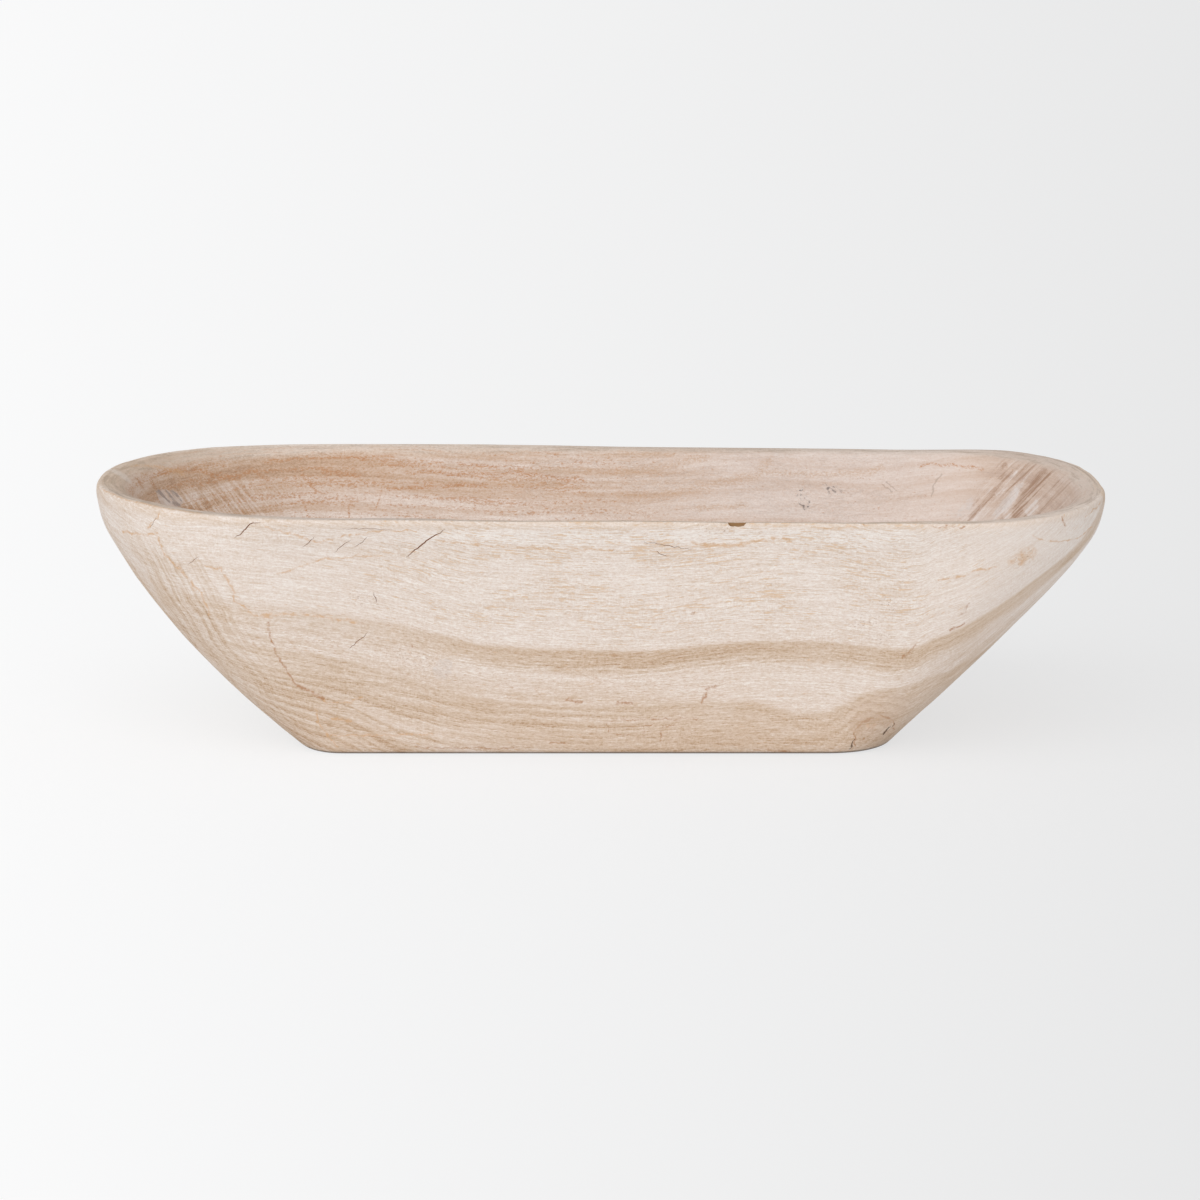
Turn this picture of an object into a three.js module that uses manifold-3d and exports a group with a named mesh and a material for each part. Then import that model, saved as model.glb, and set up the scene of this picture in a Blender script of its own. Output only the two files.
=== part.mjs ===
// A hand-carved oblong wooden bowl. One block is hollowed out, a dead knot stays in its lower corner,
// and hard filler closes the voids that the old timber had.
// Millimetres, +Z up, +X along the grain, -Y is the front. The origin is the middle of the flat base.
import * as THREE from "three";
import { mergeVertices } from "three/addons/utils/BufferGeometryUtils.js";
import Module from "manifold-3d";

// Overall sizes, over the rim
const RIM_LENGTH = 610;
const RIM_WIDTH = 290;
const RIM_HEIGHT = 152;
// How much lower the right end of the rim lies than the left end
const RIM_FALL = 3.5;
// The upright band round the rim, and the round on its outer edge
const LIP_HEIGHT = 21;
const RIM_OUTER_ROUND = 3;
// The flat base: its edges' distances from the origin, and the round along its edge
const BASE_LEFT = 178;
const BASE_RIGHT = 172;
const BASE_FRONT = 84;
const BASE_BACK = 86;
const BASE_ROUND = 6;
// Wood left under the hollow, and how steeply the hollow rises to its walls
const FLOOR_THICKNESS = 24;
const HOLLOW_POWER = 3;
// Flat stretch in the middle of each end, at the base and at the rim
const BASE_END_FLAT = 90;
const RIM_END_FLAT = 14;

// Each side's wall: lean is how far the lip's foot stands in from the rim, shoulder is how far the wall
// swells out from a straight line and skew puts that swell higher, wall is the rim's thickness and round
// is the round inside the rim.
const SIDES = {
  left: { rim: RIM_LENGTH / 2, base: BASE_LEFT, lean: 4, shoulder: 12, skew: 0, wall: 22, round: 10 },
  right: { rim: RIM_LENGTH / 2, base: BASE_RIGHT, lean: 4, shoulder: 5, skew: 1.2, wall: 19, round: 10 },
  front: { rim: RIM_WIDTH / 2, base: BASE_FRONT, lean: 8, shoulder: 2, skew: 0, wall: 13, round: 4 },
  back: { rim: RIM_WIDTH / 2, base: BASE_BACK, lean: 8, shoulder: 2, skew: 0, wall: 14, round: 4 },
};
// The four corners in the order of a walk round the bowl, seen from above, anticlockwise.
// The corner's curve runs this far along the side, at the base and at the rim.
const CORNERS = [
  { end: "right", side: "front", signX: 1, signY: -1, baseCurve: 38, rimCurve: 92, fromSide: true },
  { end: "right", side: "back", signX: 1, signY: 1, baseCurve: 36, rimCurve: 58, fromSide: false },
  { end: "left", side: "back", signX: -1, signY: 1, baseCurve: 36, rimCurve: 118, fromSide: true },
  { end: "left", side: "front", signX: -1, signY: -1, baseCurve: 24, rimCurve: 138, fromSide: false },
];

// The dead knot in the lower right corner: how far it sits in from the base's right edge and up from the
// base, and its own size
const KNOT_INSET = 8;
const KNOT_UP = 27;
const KNOT_LENGTH = 34;
const KNOT_WIDTH = 26;
const KNOT_DEPTH = 18;

// The walls that pieces are set into: where a probe starts and which way it flies to meet the surface
const WALLS = {
  frontOutside: { start: (along, up) => [along, -RIM_WIDTH, up], towards: [0, 1, 0] },
  backInside: { start: (along, up) => [along, 0, up], towards: [0, 1, 0] },
  leftInside: { start: (along, up) => [0, along, up], towards: [-1, 0, 0] },
  rightInside: { start: (along, up) => [0, along, up], towards: [1, 0, 0] },
};
// What is set into the wood. along and up place it on its wall, length, width and depth are its own, turn is
// its slant on the wall in degrees and wave is how far its outline strays from an oval.
const SEAT_GAP = 0.3;
const PLUG_PROUD = 8;
const INLAYS = [
  {
    name: "corner_knot",
    wall: "frontOutside",
    along: BASE_RIGHT - KNOT_INSET,
    up: KNOT_UP,
    length: KNOT_LENGTH,
    width: KNOT_WIDTH,
    depth: KNOT_DEPTH,
    turn: 25,
    wave: 0.05,
    material: "knot",
  },
  {
    name: "filler_front_wall",
    wall: "frontOutside",
    along: RIM_LENGTH * -0.15,
    up: 57,
    length: 11,
    width: 8,
    depth: 6,
    turn: 60,
    wave: 0.1,
    material: "filler",
  },
  {
    name: "filler_left_end",
    wall: "leftInside",
    along: RIM_WIDTH * 0.14,
    up: RIM_HEIGHT - 21,
    length: 26,
    width: 13,
    depth: 7,
    turn: -12,
    wave: 0.08,
    material: "filler",
  },
  {
    name: "filler_right_end_long",
    wall: "rightInside",
    along: RIM_WIDTH * 0.275,
    up: RIM_HEIGHT - 29,
    length: 26,
    width: 7,
    depth: 7,
    turn: 82,
    wave: 0.07,
    material: "filler",
  },
  {
    name: "filler_right_end_short",
    wall: "rightInside",
    along: RIM_WIDTH * 0.36,
    up: RIM_HEIGHT - 38,
    length: 14,
    width: 7,
    depth: 7,
    turn: 70,
    wave: 0.09,
    material: "filler",
  },
  {
    name: "filler_back_wall_low",
    wall: "backInside",
    along: RIM_LENGTH * 0.214,
    up: RIM_HEIGHT - 34,
    length: 13,
    width: 6,
    depth: 5,
    turn: 100,
    wave: 0.1,
    material: "filler",
  },
  {
    name: "filler_back_wall_high",
    wall: "backInside",
    along: RIM_LENGTH * 0.245,
    up: RIM_HEIGHT - 28,
    length: 11,
    width: 5,
    depth: 5,
    turn: 155,
    wave: 0.1,
    material: "filler",
  },
];
// A chip that is missing from the front of the rim
const CHIP = { along: RIM_LENGTH * 0.128, length: 12, height: 3.2, depth: 3.6 };

// How finely the block is drawn
const SIDE_STEPS = 6;
const CURVE_STEPS = 10;
const FLAT_STEPS = 2;
const ROUND_STEPS = 3;
const WALL_STEPS = 9;
const HOLLOW_STEPS = 11;
const OUTLINE_STEPS = 28;
const CHIP_STEPS = 14;

const MATERIALS = {
  wood: new THREE.MeshStandardMaterial({ color: 0xe2d3c8, roughness: 0.85, metalness: 0 }),
  knot: new THREE.MeshStandardMaterial({ color: 0xc9ab8f, roughness: 0.85, metalness: 0 }),
  filler: new THREE.MeshStandardMaterial({ color: 0xc4c0be, roughness: 0.9, metalness: 0 }),
};

const wasm = await Module();
wasm.setup();

const { lerp } = THREE.MathUtils;
const HALF_TURN = Math.PI / 2;

// A station is one ring of the block: each side's reach from the origin and height, and the share of the
// way from base to rim, which sets how its corners curve. shrink draws the whole ring in, for the hollow.
function station(share, place, shrink = 1) {
  const sides = {};
  for (const [name, side] of Object.entries(SIDES)) sides[name] = place(side);
  return { share, shrink, sides };
}

// The round along the base's edge turns from flat until it lies along the wall, which leans out.
function baseRound(side, share) {
  const lipFoot = RIM_HEIGHT - LIP_HEIGHT;
  const wallLean = Math.atan2(side.rim - side.lean - side.base + 4 * side.shoulder, lipFoot);
  const angle = (HALF_TURN - wallLean) * share;
  return {
    reach: side.base + BASE_ROUND * Math.sin(angle),
    height: BASE_ROUND * (1 - Math.cos(angle)),
  };
}

// The outer wall from the base's round to the lip's foot, swollen at the shoulder.
function wallStation(share) {
  return station(share * (1 - LIP_HEIGHT / RIM_HEIGHT), (side) => {
    const foot = baseRound(side, 1);
    const swell = 4 * side.shoulder * share * (1 - share) * (1 + side.skew * (share - 0.5));
    return {
      reach: lerp(foot.reach, side.rim - side.lean, share) + swell,
      height: lerp(foot.height, RIM_HEIGHT - LIP_HEIGHT, share),
    };
  });
}

function outerStations() {
  const stations = [];
  for (let i = 0; i < ROUND_STEPS; i++) stations.push(station(0, (side) => baseRound(side, i / ROUND_STEPS)));
  for (let i = 0; i <= WALL_STEPS; i++) stations.push(wallStation(i / WALL_STEPS));
  return stations;
}

function rimStations() {
  const stations = [];
  for (let i = 0; i <= ROUND_STEPS; i++) {
    const angle = (HALF_TURN * i) / ROUND_STEPS;
    stations.push(
      station(1, (side) => ({
        reach: side.rim - RIM_OUTER_ROUND * (1 - Math.cos(angle)),
        height: RIM_HEIGHT - RIM_OUTER_ROUND * (1 - Math.sin(angle)),
      })),
    );
  }
  for (let i = 0; i < ROUND_STEPS; i++) {
    const angle = (HALF_TURN * i) / ROUND_STEPS;
    stations.push(
      station(1, (side) => ({
        reach: side.rim - side.wall + side.round * (1 - Math.sin(angle)),
        height: RIM_HEIGHT - side.round * (1 - Math.cos(angle)),
      })),
    );
  }
  return stations;
}

// The hollow is the ring inside the rim, drawn in towards the middle of the floor as it goes down.
function hollowStations() {
  const stations = [];
  for (let i = 0; i < HOLLOW_STEPS; i++) {
    const shrink = 1 - i / HOLLOW_STEPS;
    stations.push(
      station(
        1,
        (side) => ({
          reach: (side.rim - side.wall) * shrink,
          height: lerp(FLOOR_THICKNESS, RIM_HEIGHT - side.round, shrink ** HOLLOW_POWER),
        }),
        shrink,
      ),
    );
  }
  return stations;
}

// The points of one corner of a ring, from the middle of the long side to the middle of the end.
function cornerPath(corner, ring) {
  const end = ring.sides[corner.end];
  const side = ring.sides[corner.side];
  const curveX = lerp(corner.baseCurve, corner.rimCurve, ring.share) * ring.shrink;
  const flat = (lerp(BASE_END_FLAT, RIM_END_FLAT, ring.share) / 2) * ring.shrink;
  const curveY = side.reach - flat;
  const points = [];
  const add = (x, y, endShare) => {
    const height = lerp(side.height, end.height, endShare);
    const fall = RIM_FALL * (height / RIM_HEIGHT) * ((corner.signX * x) / RIM_LENGTH + 0.5);
    points.push([corner.signX * x, corner.signY * y, height - fall]);
  };
  for (let i = 0; i < SIDE_STEPS; i++) add(((end.reach - curveX) * i) / SIDE_STEPS, side.reach, 0);
  for (let i = 0; i < CURVE_STEPS; i++) {
    const angle = (HALF_TURN * i) / CURVE_STEPS;
    add(end.reach - curveX + curveX * Math.sin(angle), flat + curveY * Math.cos(angle), Math.sin(angle) ** 2);
  }
  for (let i = 0; i <= FLAT_STEPS; i++) add(end.reach, flat * (1 - i / FLAT_STEPS), 1);
  return points;
}

// A whole ring: the four corners in turn, each without the point that the next one starts with.
function ringPoints(ring) {
  return CORNERS.flatMap((corner) => {
    const path = cornerPath(corner, ring);
    if (!corner.fromSide) path.reverse();
    return path.slice(0, -1);
  });
}

// A closed skin over rings that share one point count, with a fan in the middle of the first and last.
function skin(rings, firstMiddle, lastMiddle) {
  const count = rings[0].length;
  const points = [firstMiddle, ...rings.flat(), lastMiddle];
  const at = (ring, i) => 1 + ring * count + (i % count);
  const faces = [];
  for (let i = 0; i < count; i++) {
    faces.push(0, at(0, i + 1), at(0, i));
    for (let ring = 0; ring + 1 < rings.length; ring++) {
      faces.push(at(ring, i), at(ring, i + 1), at(ring + 1, i + 1));
      faces.push(at(ring, i), at(ring + 1, i + 1), at(ring + 1, i));
    }
    faces.push(at(rings.length - 1, i), at(rings.length - 1, i + 1), points.length - 1);
  }
  return new THREE.BufferGeometry()
    .setAttribute("position", new THREE.Float32BufferAttribute(points.flat(), 3))
    .setIndex(faces);
}

function blockGeometry() {
  const stations = [...outerStations(), ...rimStations(), ...hollowStations()];
  const floor = FLOOR_THICKNESS - (RIM_FALL * FLOOR_THICKNESS) / RIM_HEIGHT / 2;
  return skin(stations.map(ringPoints), [0, 0, 0], [0, 0, floor]);
}

// A geometry as a solid that can be joined and cut, and back again.
function toSolid(geometry) {
  const bare = new THREE.BufferGeometry().setAttribute("position", geometry.getAttribute("position"));
  bare.setIndex(geometry.index);
  const merged = mergeVertices(bare);
  return new wasm.Manifold(
    new wasm.Mesh({
      numProp: 3,
      vertProperties: merged.getAttribute("position").array,
      triVerts: new Uint32Array(merged.index.array),
    }),
  );
}

function toGeometry(solid) {
  const mesh = solid.getMesh();
  const geometry = new THREE.BufferGeometry()
    .setAttribute("position", new THREE.BufferAttribute(mesh.vertProperties, 3))
    .setIndex(new THREE.BufferAttribute(mesh.triVerts, 1));
  geometry.computeVertexNormals();
  return geometry;
}

// The place where an inlay meets the surface of its wall: its axes lie along the face, up it and out of it.
function probe(mesh, inlay) {
  const wall = WALLS[inlay.wall];
  const start = new THREE.Vector3(...wall.start(inlay.along, inlay.up));
  const hit = new THREE.Raycaster(start, new THREE.Vector3(...wall.towards)).intersectObject(mesh)[0];
  const out = hit.face.normal.clone();
  const along = new THREE.Vector3(0, 0, 1).cross(out).normalize();
  const up = out.clone().cross(along);
  return new THREE.Matrix4().makeBasis(along, up, out).setPosition(hit.point);
}

// A plug with a wavy oval outline, square to the surface, grown all round by the seat's gap for its pocket.
function plug(inlay, spot, grow) {
  const outline = [];
  for (let i = 0; i < OUTLINE_STEPS; i++) {
    const angle = (2 * Math.PI * i) / OUTLINE_STEPS;
    const swell = 1 + inlay.wave * (Math.cos(3 * angle) + Math.sin(2 * angle));
    const point = new THREE.Vector2(
      ((inlay.length / 2) * swell + grow) * Math.cos(angle),
      ((inlay.width / 2) * swell + grow) * Math.sin(angle),
    );
    outline.push(point.rotateAround(new THREE.Vector2(), THREE.MathUtils.degToRad(inlay.turn)));
  }
  const geometry = new THREE.ExtrudeGeometry(new THREE.Shape(outline), {
    depth: inlay.depth + grow + PLUG_PROUD,
    bevelEnabled: false,
  });
  geometry.translate(0, 0, -inlay.depth - grow);
  return toSolid(geometry.applyMatrix4(spot));
}

function chipSolid() {
  const geometry = new THREE.SphereGeometry(1, CHIP_STEPS, CHIP_STEPS);
  geometry.scale(CHIP.length / 2, CHIP.depth, CHIP.height);
  const rimFall = RIM_FALL * (CHIP.along / RIM_LENGTH + 0.5);
  geometry.translate(CHIP.along, -SIDES.front.rim, RIM_HEIGHT - rimFall);
  return toSolid(geometry);
}

function namedMesh(name, solid, material) {
  const mesh = new THREE.Mesh(toGeometry(solid), material);
  mesh.name = name;
  return mesh;
}

const bowl = new THREE.Group();
const blank = new THREE.Mesh(blockGeometry());
const blankSolid = toSolid(blank.geometry);
let block = blankSolid.subtract(chipSolid());
for (const inlay of INLAYS) {
  const spot = probe(blank, inlay);
  block = block.subtract(plug(inlay, spot, SEAT_GAP));
  bowl.add(namedMesh(inlay.name, plug(inlay, spot, 0).intersect(blankSolid), MATERIALS[inlay.material]));
}
bowl.add(namedMesh("bowl_block", block, MATERIALS.wood));

export default bowl;
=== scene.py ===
# %% [markdown]
# # A bowl dug out of one block of old timber
# The bowl is a single piece of pale, light wood, hollowed with a gouge and washed with thin white paint.
# Its sizes were settled beforehand as plain solids, and this lesson gives those solids their real surface.
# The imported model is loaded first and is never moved, so that every new piece can be measured from it.

# %% Load the fixed frame
import bmesh
import bpy
import math
import random
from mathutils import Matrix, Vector


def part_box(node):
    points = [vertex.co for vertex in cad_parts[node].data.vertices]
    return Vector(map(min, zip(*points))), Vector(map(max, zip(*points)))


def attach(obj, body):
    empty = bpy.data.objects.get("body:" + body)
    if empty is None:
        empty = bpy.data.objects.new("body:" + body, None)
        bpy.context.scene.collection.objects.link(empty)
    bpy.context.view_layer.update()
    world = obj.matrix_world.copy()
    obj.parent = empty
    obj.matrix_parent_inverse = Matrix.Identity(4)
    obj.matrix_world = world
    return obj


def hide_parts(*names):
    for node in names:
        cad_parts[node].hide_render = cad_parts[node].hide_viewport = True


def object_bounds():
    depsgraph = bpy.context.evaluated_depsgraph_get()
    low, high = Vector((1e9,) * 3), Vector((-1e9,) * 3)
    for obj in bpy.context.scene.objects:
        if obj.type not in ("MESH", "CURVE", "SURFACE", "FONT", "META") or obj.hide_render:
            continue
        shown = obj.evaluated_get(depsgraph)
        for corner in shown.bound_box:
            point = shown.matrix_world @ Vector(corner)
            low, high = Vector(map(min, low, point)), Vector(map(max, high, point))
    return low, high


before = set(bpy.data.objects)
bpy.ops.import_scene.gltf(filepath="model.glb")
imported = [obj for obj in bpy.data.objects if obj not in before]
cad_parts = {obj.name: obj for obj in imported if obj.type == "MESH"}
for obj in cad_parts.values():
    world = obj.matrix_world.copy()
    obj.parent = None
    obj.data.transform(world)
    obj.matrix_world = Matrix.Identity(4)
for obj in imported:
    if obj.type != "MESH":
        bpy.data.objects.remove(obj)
MM = 0.001
cad_low, cad_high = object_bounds()
print("block", [round((b - a) / MM) for a, b in zip(cad_low, cad_high)], "mm,", len(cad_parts), "nodes")

# %% [markdown]
# The picture was taken with a long lens from a little above the rim, square to the bowl's long side.
# A camera is placed by its distance and its height angle, and aimed with a track quaternion.
# That is surer than typing three angles, because the aim stays right when the distance is changed.

# %% Place the camera
EYE_DISTANCE = 2.2
EYE_ANGLE = math.radians(11.05)
LENS = 107.85
AIM = Vector((0, 0, 76 * MM))

bpy.context.scene.view_settings.view_transform = "Standard"
eye = bpy.data.cameras.new("eye")
eye.lens = LENS
eye_object = bpy.data.objects.new("eye", eye)
bpy.context.scene.collection.objects.link(eye_object)
back_off = Vector((0, -math.cos(EYE_ANGLE), math.sin(EYE_ANGLE)))
eye_object.location = AIM + back_off * EYE_DISTANCE
eye_object.rotation_mode = "QUATERNION"
eye_object.rotation_quaternion = (-back_off).to_track_quat("-Z", "Y")
bpy.context.scene.camera = eye_object
print("camera at", [round(v, 3) for v in eye_object.location])

# %% [markdown]
# Old wood is judged by its colour, so the light is soft and plain.
# A white surround gives half of it, and one very wide sun from the front left shapes the form.
# A sun lights near and far floor alike, so the background stays even.


# %% Studio light
def paint(red, green, blue):
    """A colour as it is read from a screen, 0 to 255, turned into the shader's linear numbers."""
    shares = [value / 255 for value in (red, green, blue)]
    linear = [((s + 0.055) / 1.055) ** 2.4 if s > 0.04045 else s / 12.92 for s in shares]
    return (*linear, 1)


def soft_sun(name, comes_from, strength, spread):
    """A lamp that is equally strong everywhere, from a wide patch of sky."""
    light = bpy.data.lights.new(name, "SUN")
    light.energy = strength * math.pi
    light.angle = math.radians(spread)
    holder = bpy.data.objects.new(name, light)
    bpy.context.scene.collection.objects.link(holder)
    holder.rotation_mode = "QUATERNION"
    holder.rotation_quaternion = Vector(comes_from).to_track_quat("Z", "Y")


SURROUND = 0.495
SUN_FROM = (-0.26, -0.72, 0.64)
SUN_STRENGTH, SUN_SPREAD = 0.57, 80

world = bpy.data.worlds.new("surround")
world.use_nodes = True
world.node_tree.nodes["Background"].inputs["Color"].default_value = (1, 1, 1, 1)
world.node_tree.nodes["Background"].inputs["Strength"].default_value = SURROUND
bpy.context.scene.world = world
soft_sun("key_light", SUN_FROM, SUN_STRENGTH, SUN_SPREAD)
print("one soft sun and a surround at", SURROUND)

# %% [markdown]
# Node trees are easier to read as sums than as wires, so a small helper writes them:
# each of its methods adds a node or a few and gives back what comes out of them.
# The floor needs only a few of them, and the wood all.


# %% A helper that writes node trees
class Recipe:
    """Writes a node tree line by line."""

    def __init__(self, tree):
        self.tree = tree

    def node(self, kind, inputs, **settings):
        """Adds a node, with its settings first and then its inputs by name or number."""
        made = self.tree.nodes.new(kind)
        for name, value in settings.items():
            setattr(made, name, value)
        for socket, value in inputs.items():
            if isinstance(value, bpy.types.NodeSocket):
                self.tree.links.new(value, made.inputs[socket])
            else:
                made.inputs[socket].default_value = value
        return made

    def sum(self, operation, *values):
        """One step of arithmetic on numbers."""
        return self.node("ShaderNodeMath", dict(enumerate(values)), operation=operation).outputs[0]

    def fold(self, operation, values):
        """The same step of arithmetic along a row of values."""
        total = values[0]
        for value in values[1:]:
            total = self.sum(operation, total, value)
        return total

    def add(self, *values):
        """All the values added up."""
        return self.fold("ADD", values)

    def times(self, *values):
        """All the values multiplied."""
        return self.fold("MULTIPLY", values)

    def most(self, *values):
        """The largest of the values."""
        return self.fold("MAXIMUM", values)

    def less(self, a, b):
        """The first value less the second."""
        return self.sum("SUBTRACT", a, b)

    def swing(self, noise, amount):
        """Noise that swings about nothing instead of about a half."""
        return self.times(self.less(noise, 0.5), amount)

    def vector(self, operation, a, b):
        """One step of arithmetic on two places."""
        return self.node("ShaderNodeVectorMath", {0: a, 1: b}, operation=operation)

    def place(self, x, y, z):
        """Three numbers as one place."""
        return self.node("ShaderNodeCombineXYZ", {0: x, 1: y, 2: z}).outputs[0]

    def scaled(self, place, amount):
        """One place, so many times as far from the origin."""
        return self.node("ShaderNodeVectorMath", {0: place, "Scale": amount}, operation="SCALE").outputs[0]

    def parts(self, place):
        """One place as three numbers."""
        return self.node("ShaderNodeSeparateXYZ", {0: place}).outputs

    def step(self, value, low, high, start=0.0, end=1.0):
        """A smooth rise from one number to another while the value goes from low to high."""
        inputs = {0: value, 1: low, 2: high, 3: start, 4: end}
        return self.node("ShaderNodeMapRange", inputs, interpolation_type="SMOOTHSTEP").outputs[0]

    def between(self, value, start, rise, fall, end):
        """One between rise and fall, and nothing before start and after end."""
        return self.times(self.step(value, start, rise), self.step(value, end, fall))

    def noise(self, numbers, scales, detail=2.0, roughness=0.5):
        """Cloudy noise, read along three numbers, with so many clouds to one unit of each."""
        spot = self.place(*[self.times(number, scale) for number, scale in zip(numbers, scales)])
        inputs = {"Vector": spot, "Scale": 1.0, "Detail": detail, "Roughness": roughness}
        return self.node("ShaderNodeTexNoise", inputs).outputs[0]

    def share(self, value, low, high):
        """How far a value is on the way from low to high, 0 to 1."""
        return self.node("ShaderNodeMapRange", {0: value, 1: low, 2: high}).outputs[0]

    def curve(self, value, points):
        """A curve through given points, from the first to the last."""
        low, high = points[0][0], points[-1][0]
        bottom = min(y for _, y in points)
        top = max(y for _, y in points)
        drawn = self.node("ShaderNodeFloatCurve", {"Value": self.share(value, low, high)})
        line = drawn.mapping.curves[0]
        while len(line.points) < len(points):
            line.points.new(0.5, 0.5)
        for point, (x, y) in zip(line.points, points):
            point.location = ((x - low) / (high - low), (y - bottom) / (top - bottom))
        drawn.mapping.update()
        return self.add(self.times(drawn.outputs[0], float(top - bottom)), float(bottom))

    def mix(self, share, a, b):
        """Two colours mixed, from the first at a share of 0 to the second at 1."""
        return self.node("ShaderNodeMix", {0: share, 6: a, 7: b}, data_type="RGBA").outputs[2]

    def tones(self, value, stops):
        """A row of colours, each at its own value, with a straight change between neighbours."""
        low, high = stops[0][0], stops[-1][0]
        ramp = self.node("ShaderNodeValToRGB", {0: self.share(value, low, high)})
        bar = ramp.color_ramp.elements
        while len(bar) < len(stops):
            bar.new(0.5)
        for stop, (at, colour) in zip(bar, stops):
            stop.position = (at - low) / (high - low)
            stop.color = colour
        return ramp.outputs[0]

    def layer(self, name):
        """A number that was stored on the mesh."""
        return self.node("ShaderNodeAttribute", {}, attribute_name=name).outputs["Fac"]


print("recipe helper ready")

# %% [markdown]
# The floor is one very wide pale plane: the camera looks slightly down, so it fills the whole background.
# A white paper floor in a studio is lit by its own lamps. Here a share of plain white that only the camera
# sees does the same, so the bowl gets no more light for it and its shadow stays, only fainter.
# That white falls off a little from left to right.

# %% The floor
FLOOR_SIZE = 200
FLOOR_PAINT = paint(248, 249, 251)
OWN_LIGHT = 0.8
BRIGHT_SIDE, DIM_SIDE = paint(254, 254, 254), paint(232, 232, 232)
VIEW_SLOPE = 0.17
NEAREST = 0.5
MATT_ROUGHNESS, MATT_GLOSS = 0.9, 0.1


def blank_finish(name, roughness, gloss):
    """A new material, equally rough and glossy all over, and its shader."""
    finish = bpy.data.materials.new(name)
    finish.use_nodes = True
    shader = finish.node_tree.nodes["Principled BSDF"]
    shader.inputs["Roughness"].default_value = roughness
    shader.inputs["Specular IOR Level"].default_value = gloss
    return finish, shader


bpy.ops.object.select_all(action="DESELECT")
bpy.ops.mesh.primitive_plane_add(size=FLOOR_SIZE)
floor = bpy.context.object
floor.name = "floor"
floor_finish, floor_shader = blank_finish("floor_paint", MATT_ROUGHNESS, MATT_GLOSS)
floor_shader.inputs["Base Color"].default_value = FLOOR_PAINT
sheet = Recipe(floor_finish.node_tree)
floor_x, floor_y, _ = sheet.parts(sheet.node("ShaderNodeTexCoord", {}).outputs["Object"])
depth = sheet.most(sheet.add(floor_y, EYE_DISTANCE), NEAREST)
across = sheet.sum("DIVIDE", floor_x, depth)
white = sheet.tones(across, ((-VIEW_SLOPE, BRIGHT_SIDE), (VIEW_SLOPE, DIM_SIDE)))
own = sheet.node("ShaderNodeEmission", {"Color": white, "Strength": 1.0}).outputs[0]
ray = sheet.node("ShaderNodeLightPath", {}).outputs
seen = sheet.most(ray["Is Camera Ray"], ray["Is Glossy Ray"], ray["Is Transmission Ray"])
lit = floor_shader.outputs[0]
both = sheet.node("ShaderNodeMixShader", {0: sheet.times(seen, OWN_LIGHT), 1: lit, 2: own}).outputs[0]
floor_output = floor_finish.node_tree.nodes["Material Output"]
floor_finish.node_tree.links.new(both, floor_output.inputs["Surface"])
floor.data.materials.append(floor_finish)
print("floor", FLOOR_SIZE, "m wide")

# %% [markdown]
# A carver who copies a bowl uses a contour gauge: rods that are pushed against the surface and keep
# its outline. Here a joined copy of the solids is that surface, and rays are the rods.
# Three rays a little apart are sent for every reading and the nearest hit is kept, because the solids
# have hair-fine gaps around their inlays, and a single ray could slip into one.


# %% A pattern to measure from
def only(piece):
    """Makes one piece the whole selection."""
    if bpy.context.object and bpy.context.object.mode != "OBJECT":
        bpy.ops.object.mode_set(mode="OBJECT")
    bpy.ops.object.select_all(action="DESELECT")
    piece.select_set(True)
    bpy.context.view_layer.objects.active = piece


def merge_points(piece, gap, turn_out=True):
    """Merges points that share a place, and turns the faces outwards where that is wanted."""
    only(piece)
    bpy.ops.object.mode_set(mode="EDIT")
    bpy.ops.mesh.select_all(action="SELECT")
    bpy.ops.mesh.remove_doubles(threshold=gap)
    if turn_out:
        bpy.ops.mesh.normals_make_consistent(inside=False)
    bpy.ops.object.mode_set(mode="OBJECT")


def joined_copy(name, nodes):
    """A copy of some solids as one merged mesh."""
    bpy.ops.object.select_all(action="DESELECT")
    for node in nodes:
        node.select_set(True)
    bpy.context.view_layer.objects.active = nodes[0]
    bpy.ops.object.duplicate()
    bpy.ops.object.join()
    made = bpy.context.object
    made.name = name
    merge_points(made, SAME_PLACE, turn_out=False)
    return made


FAR = 1.0
SAME_PLACE = 0.01 * MM
GAUGE_GAP = 0.45 * MM

pattern = joined_copy("pattern", [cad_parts[name] for name in sorted(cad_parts)])


def reach(start, way, sideways):
    """The first point that a ray meets, out of three rays side by side, kept on the middle ray's line."""
    best = None
    for step in (-1, 0, 1):
        found, spot, _, _ = pattern.ray_cast(start + sideways * (step * GAUGE_GAP), way)
        if found:
            travel = (spot - start).dot(way)
            best = travel if best is None else min(best, travel)
    return None if best is None else start + way * best


UP = Vector((0, 0, 1))
ASLANT = Vector((0.7, 0.7, 0))
print("pattern of", len(pattern.data.polygons), "faces")

# %% [markdown]
# The bowl is a long ring that stands around a straight middle line.
# Upright columns are set out along it: straight across the two long sides, and fanned around each end.
# Every ring of the skin has one point in each column, so all rings have the same count and join easily.

# %% Set out the columns
SIDE_COLUMNS = 46
END_COLUMNS = 30
SPINE = ((cad_high.x - cad_low.x) - (cad_high.y - cad_low.y)) / 2


def set_out_columns():
    """The foot of each column on the middle line and the way it looks out, front side first."""
    columns = []
    for side in (1, -1):
        for i in range(SIDE_COLUMNS):
            across = SPINE * side * (2 * i / SIDE_COLUMNS - 1)
            columns.append((Vector((across, 0, 0)), Vector((0, -side, 0))))
        for i in range(END_COLUMNS):
            turn = math.pi * (i / END_COLUMNS - side * 0.5)
            columns.append((Vector((SPINE * side, 0, 0)), Vector((math.cos(turn), math.sin(turn), 0))))
    return columns


COLUMNS = set_out_columns()
print(len(COLUMNS), "columns, middle line", round(2 * SPINE / MM), "mm long")

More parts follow.
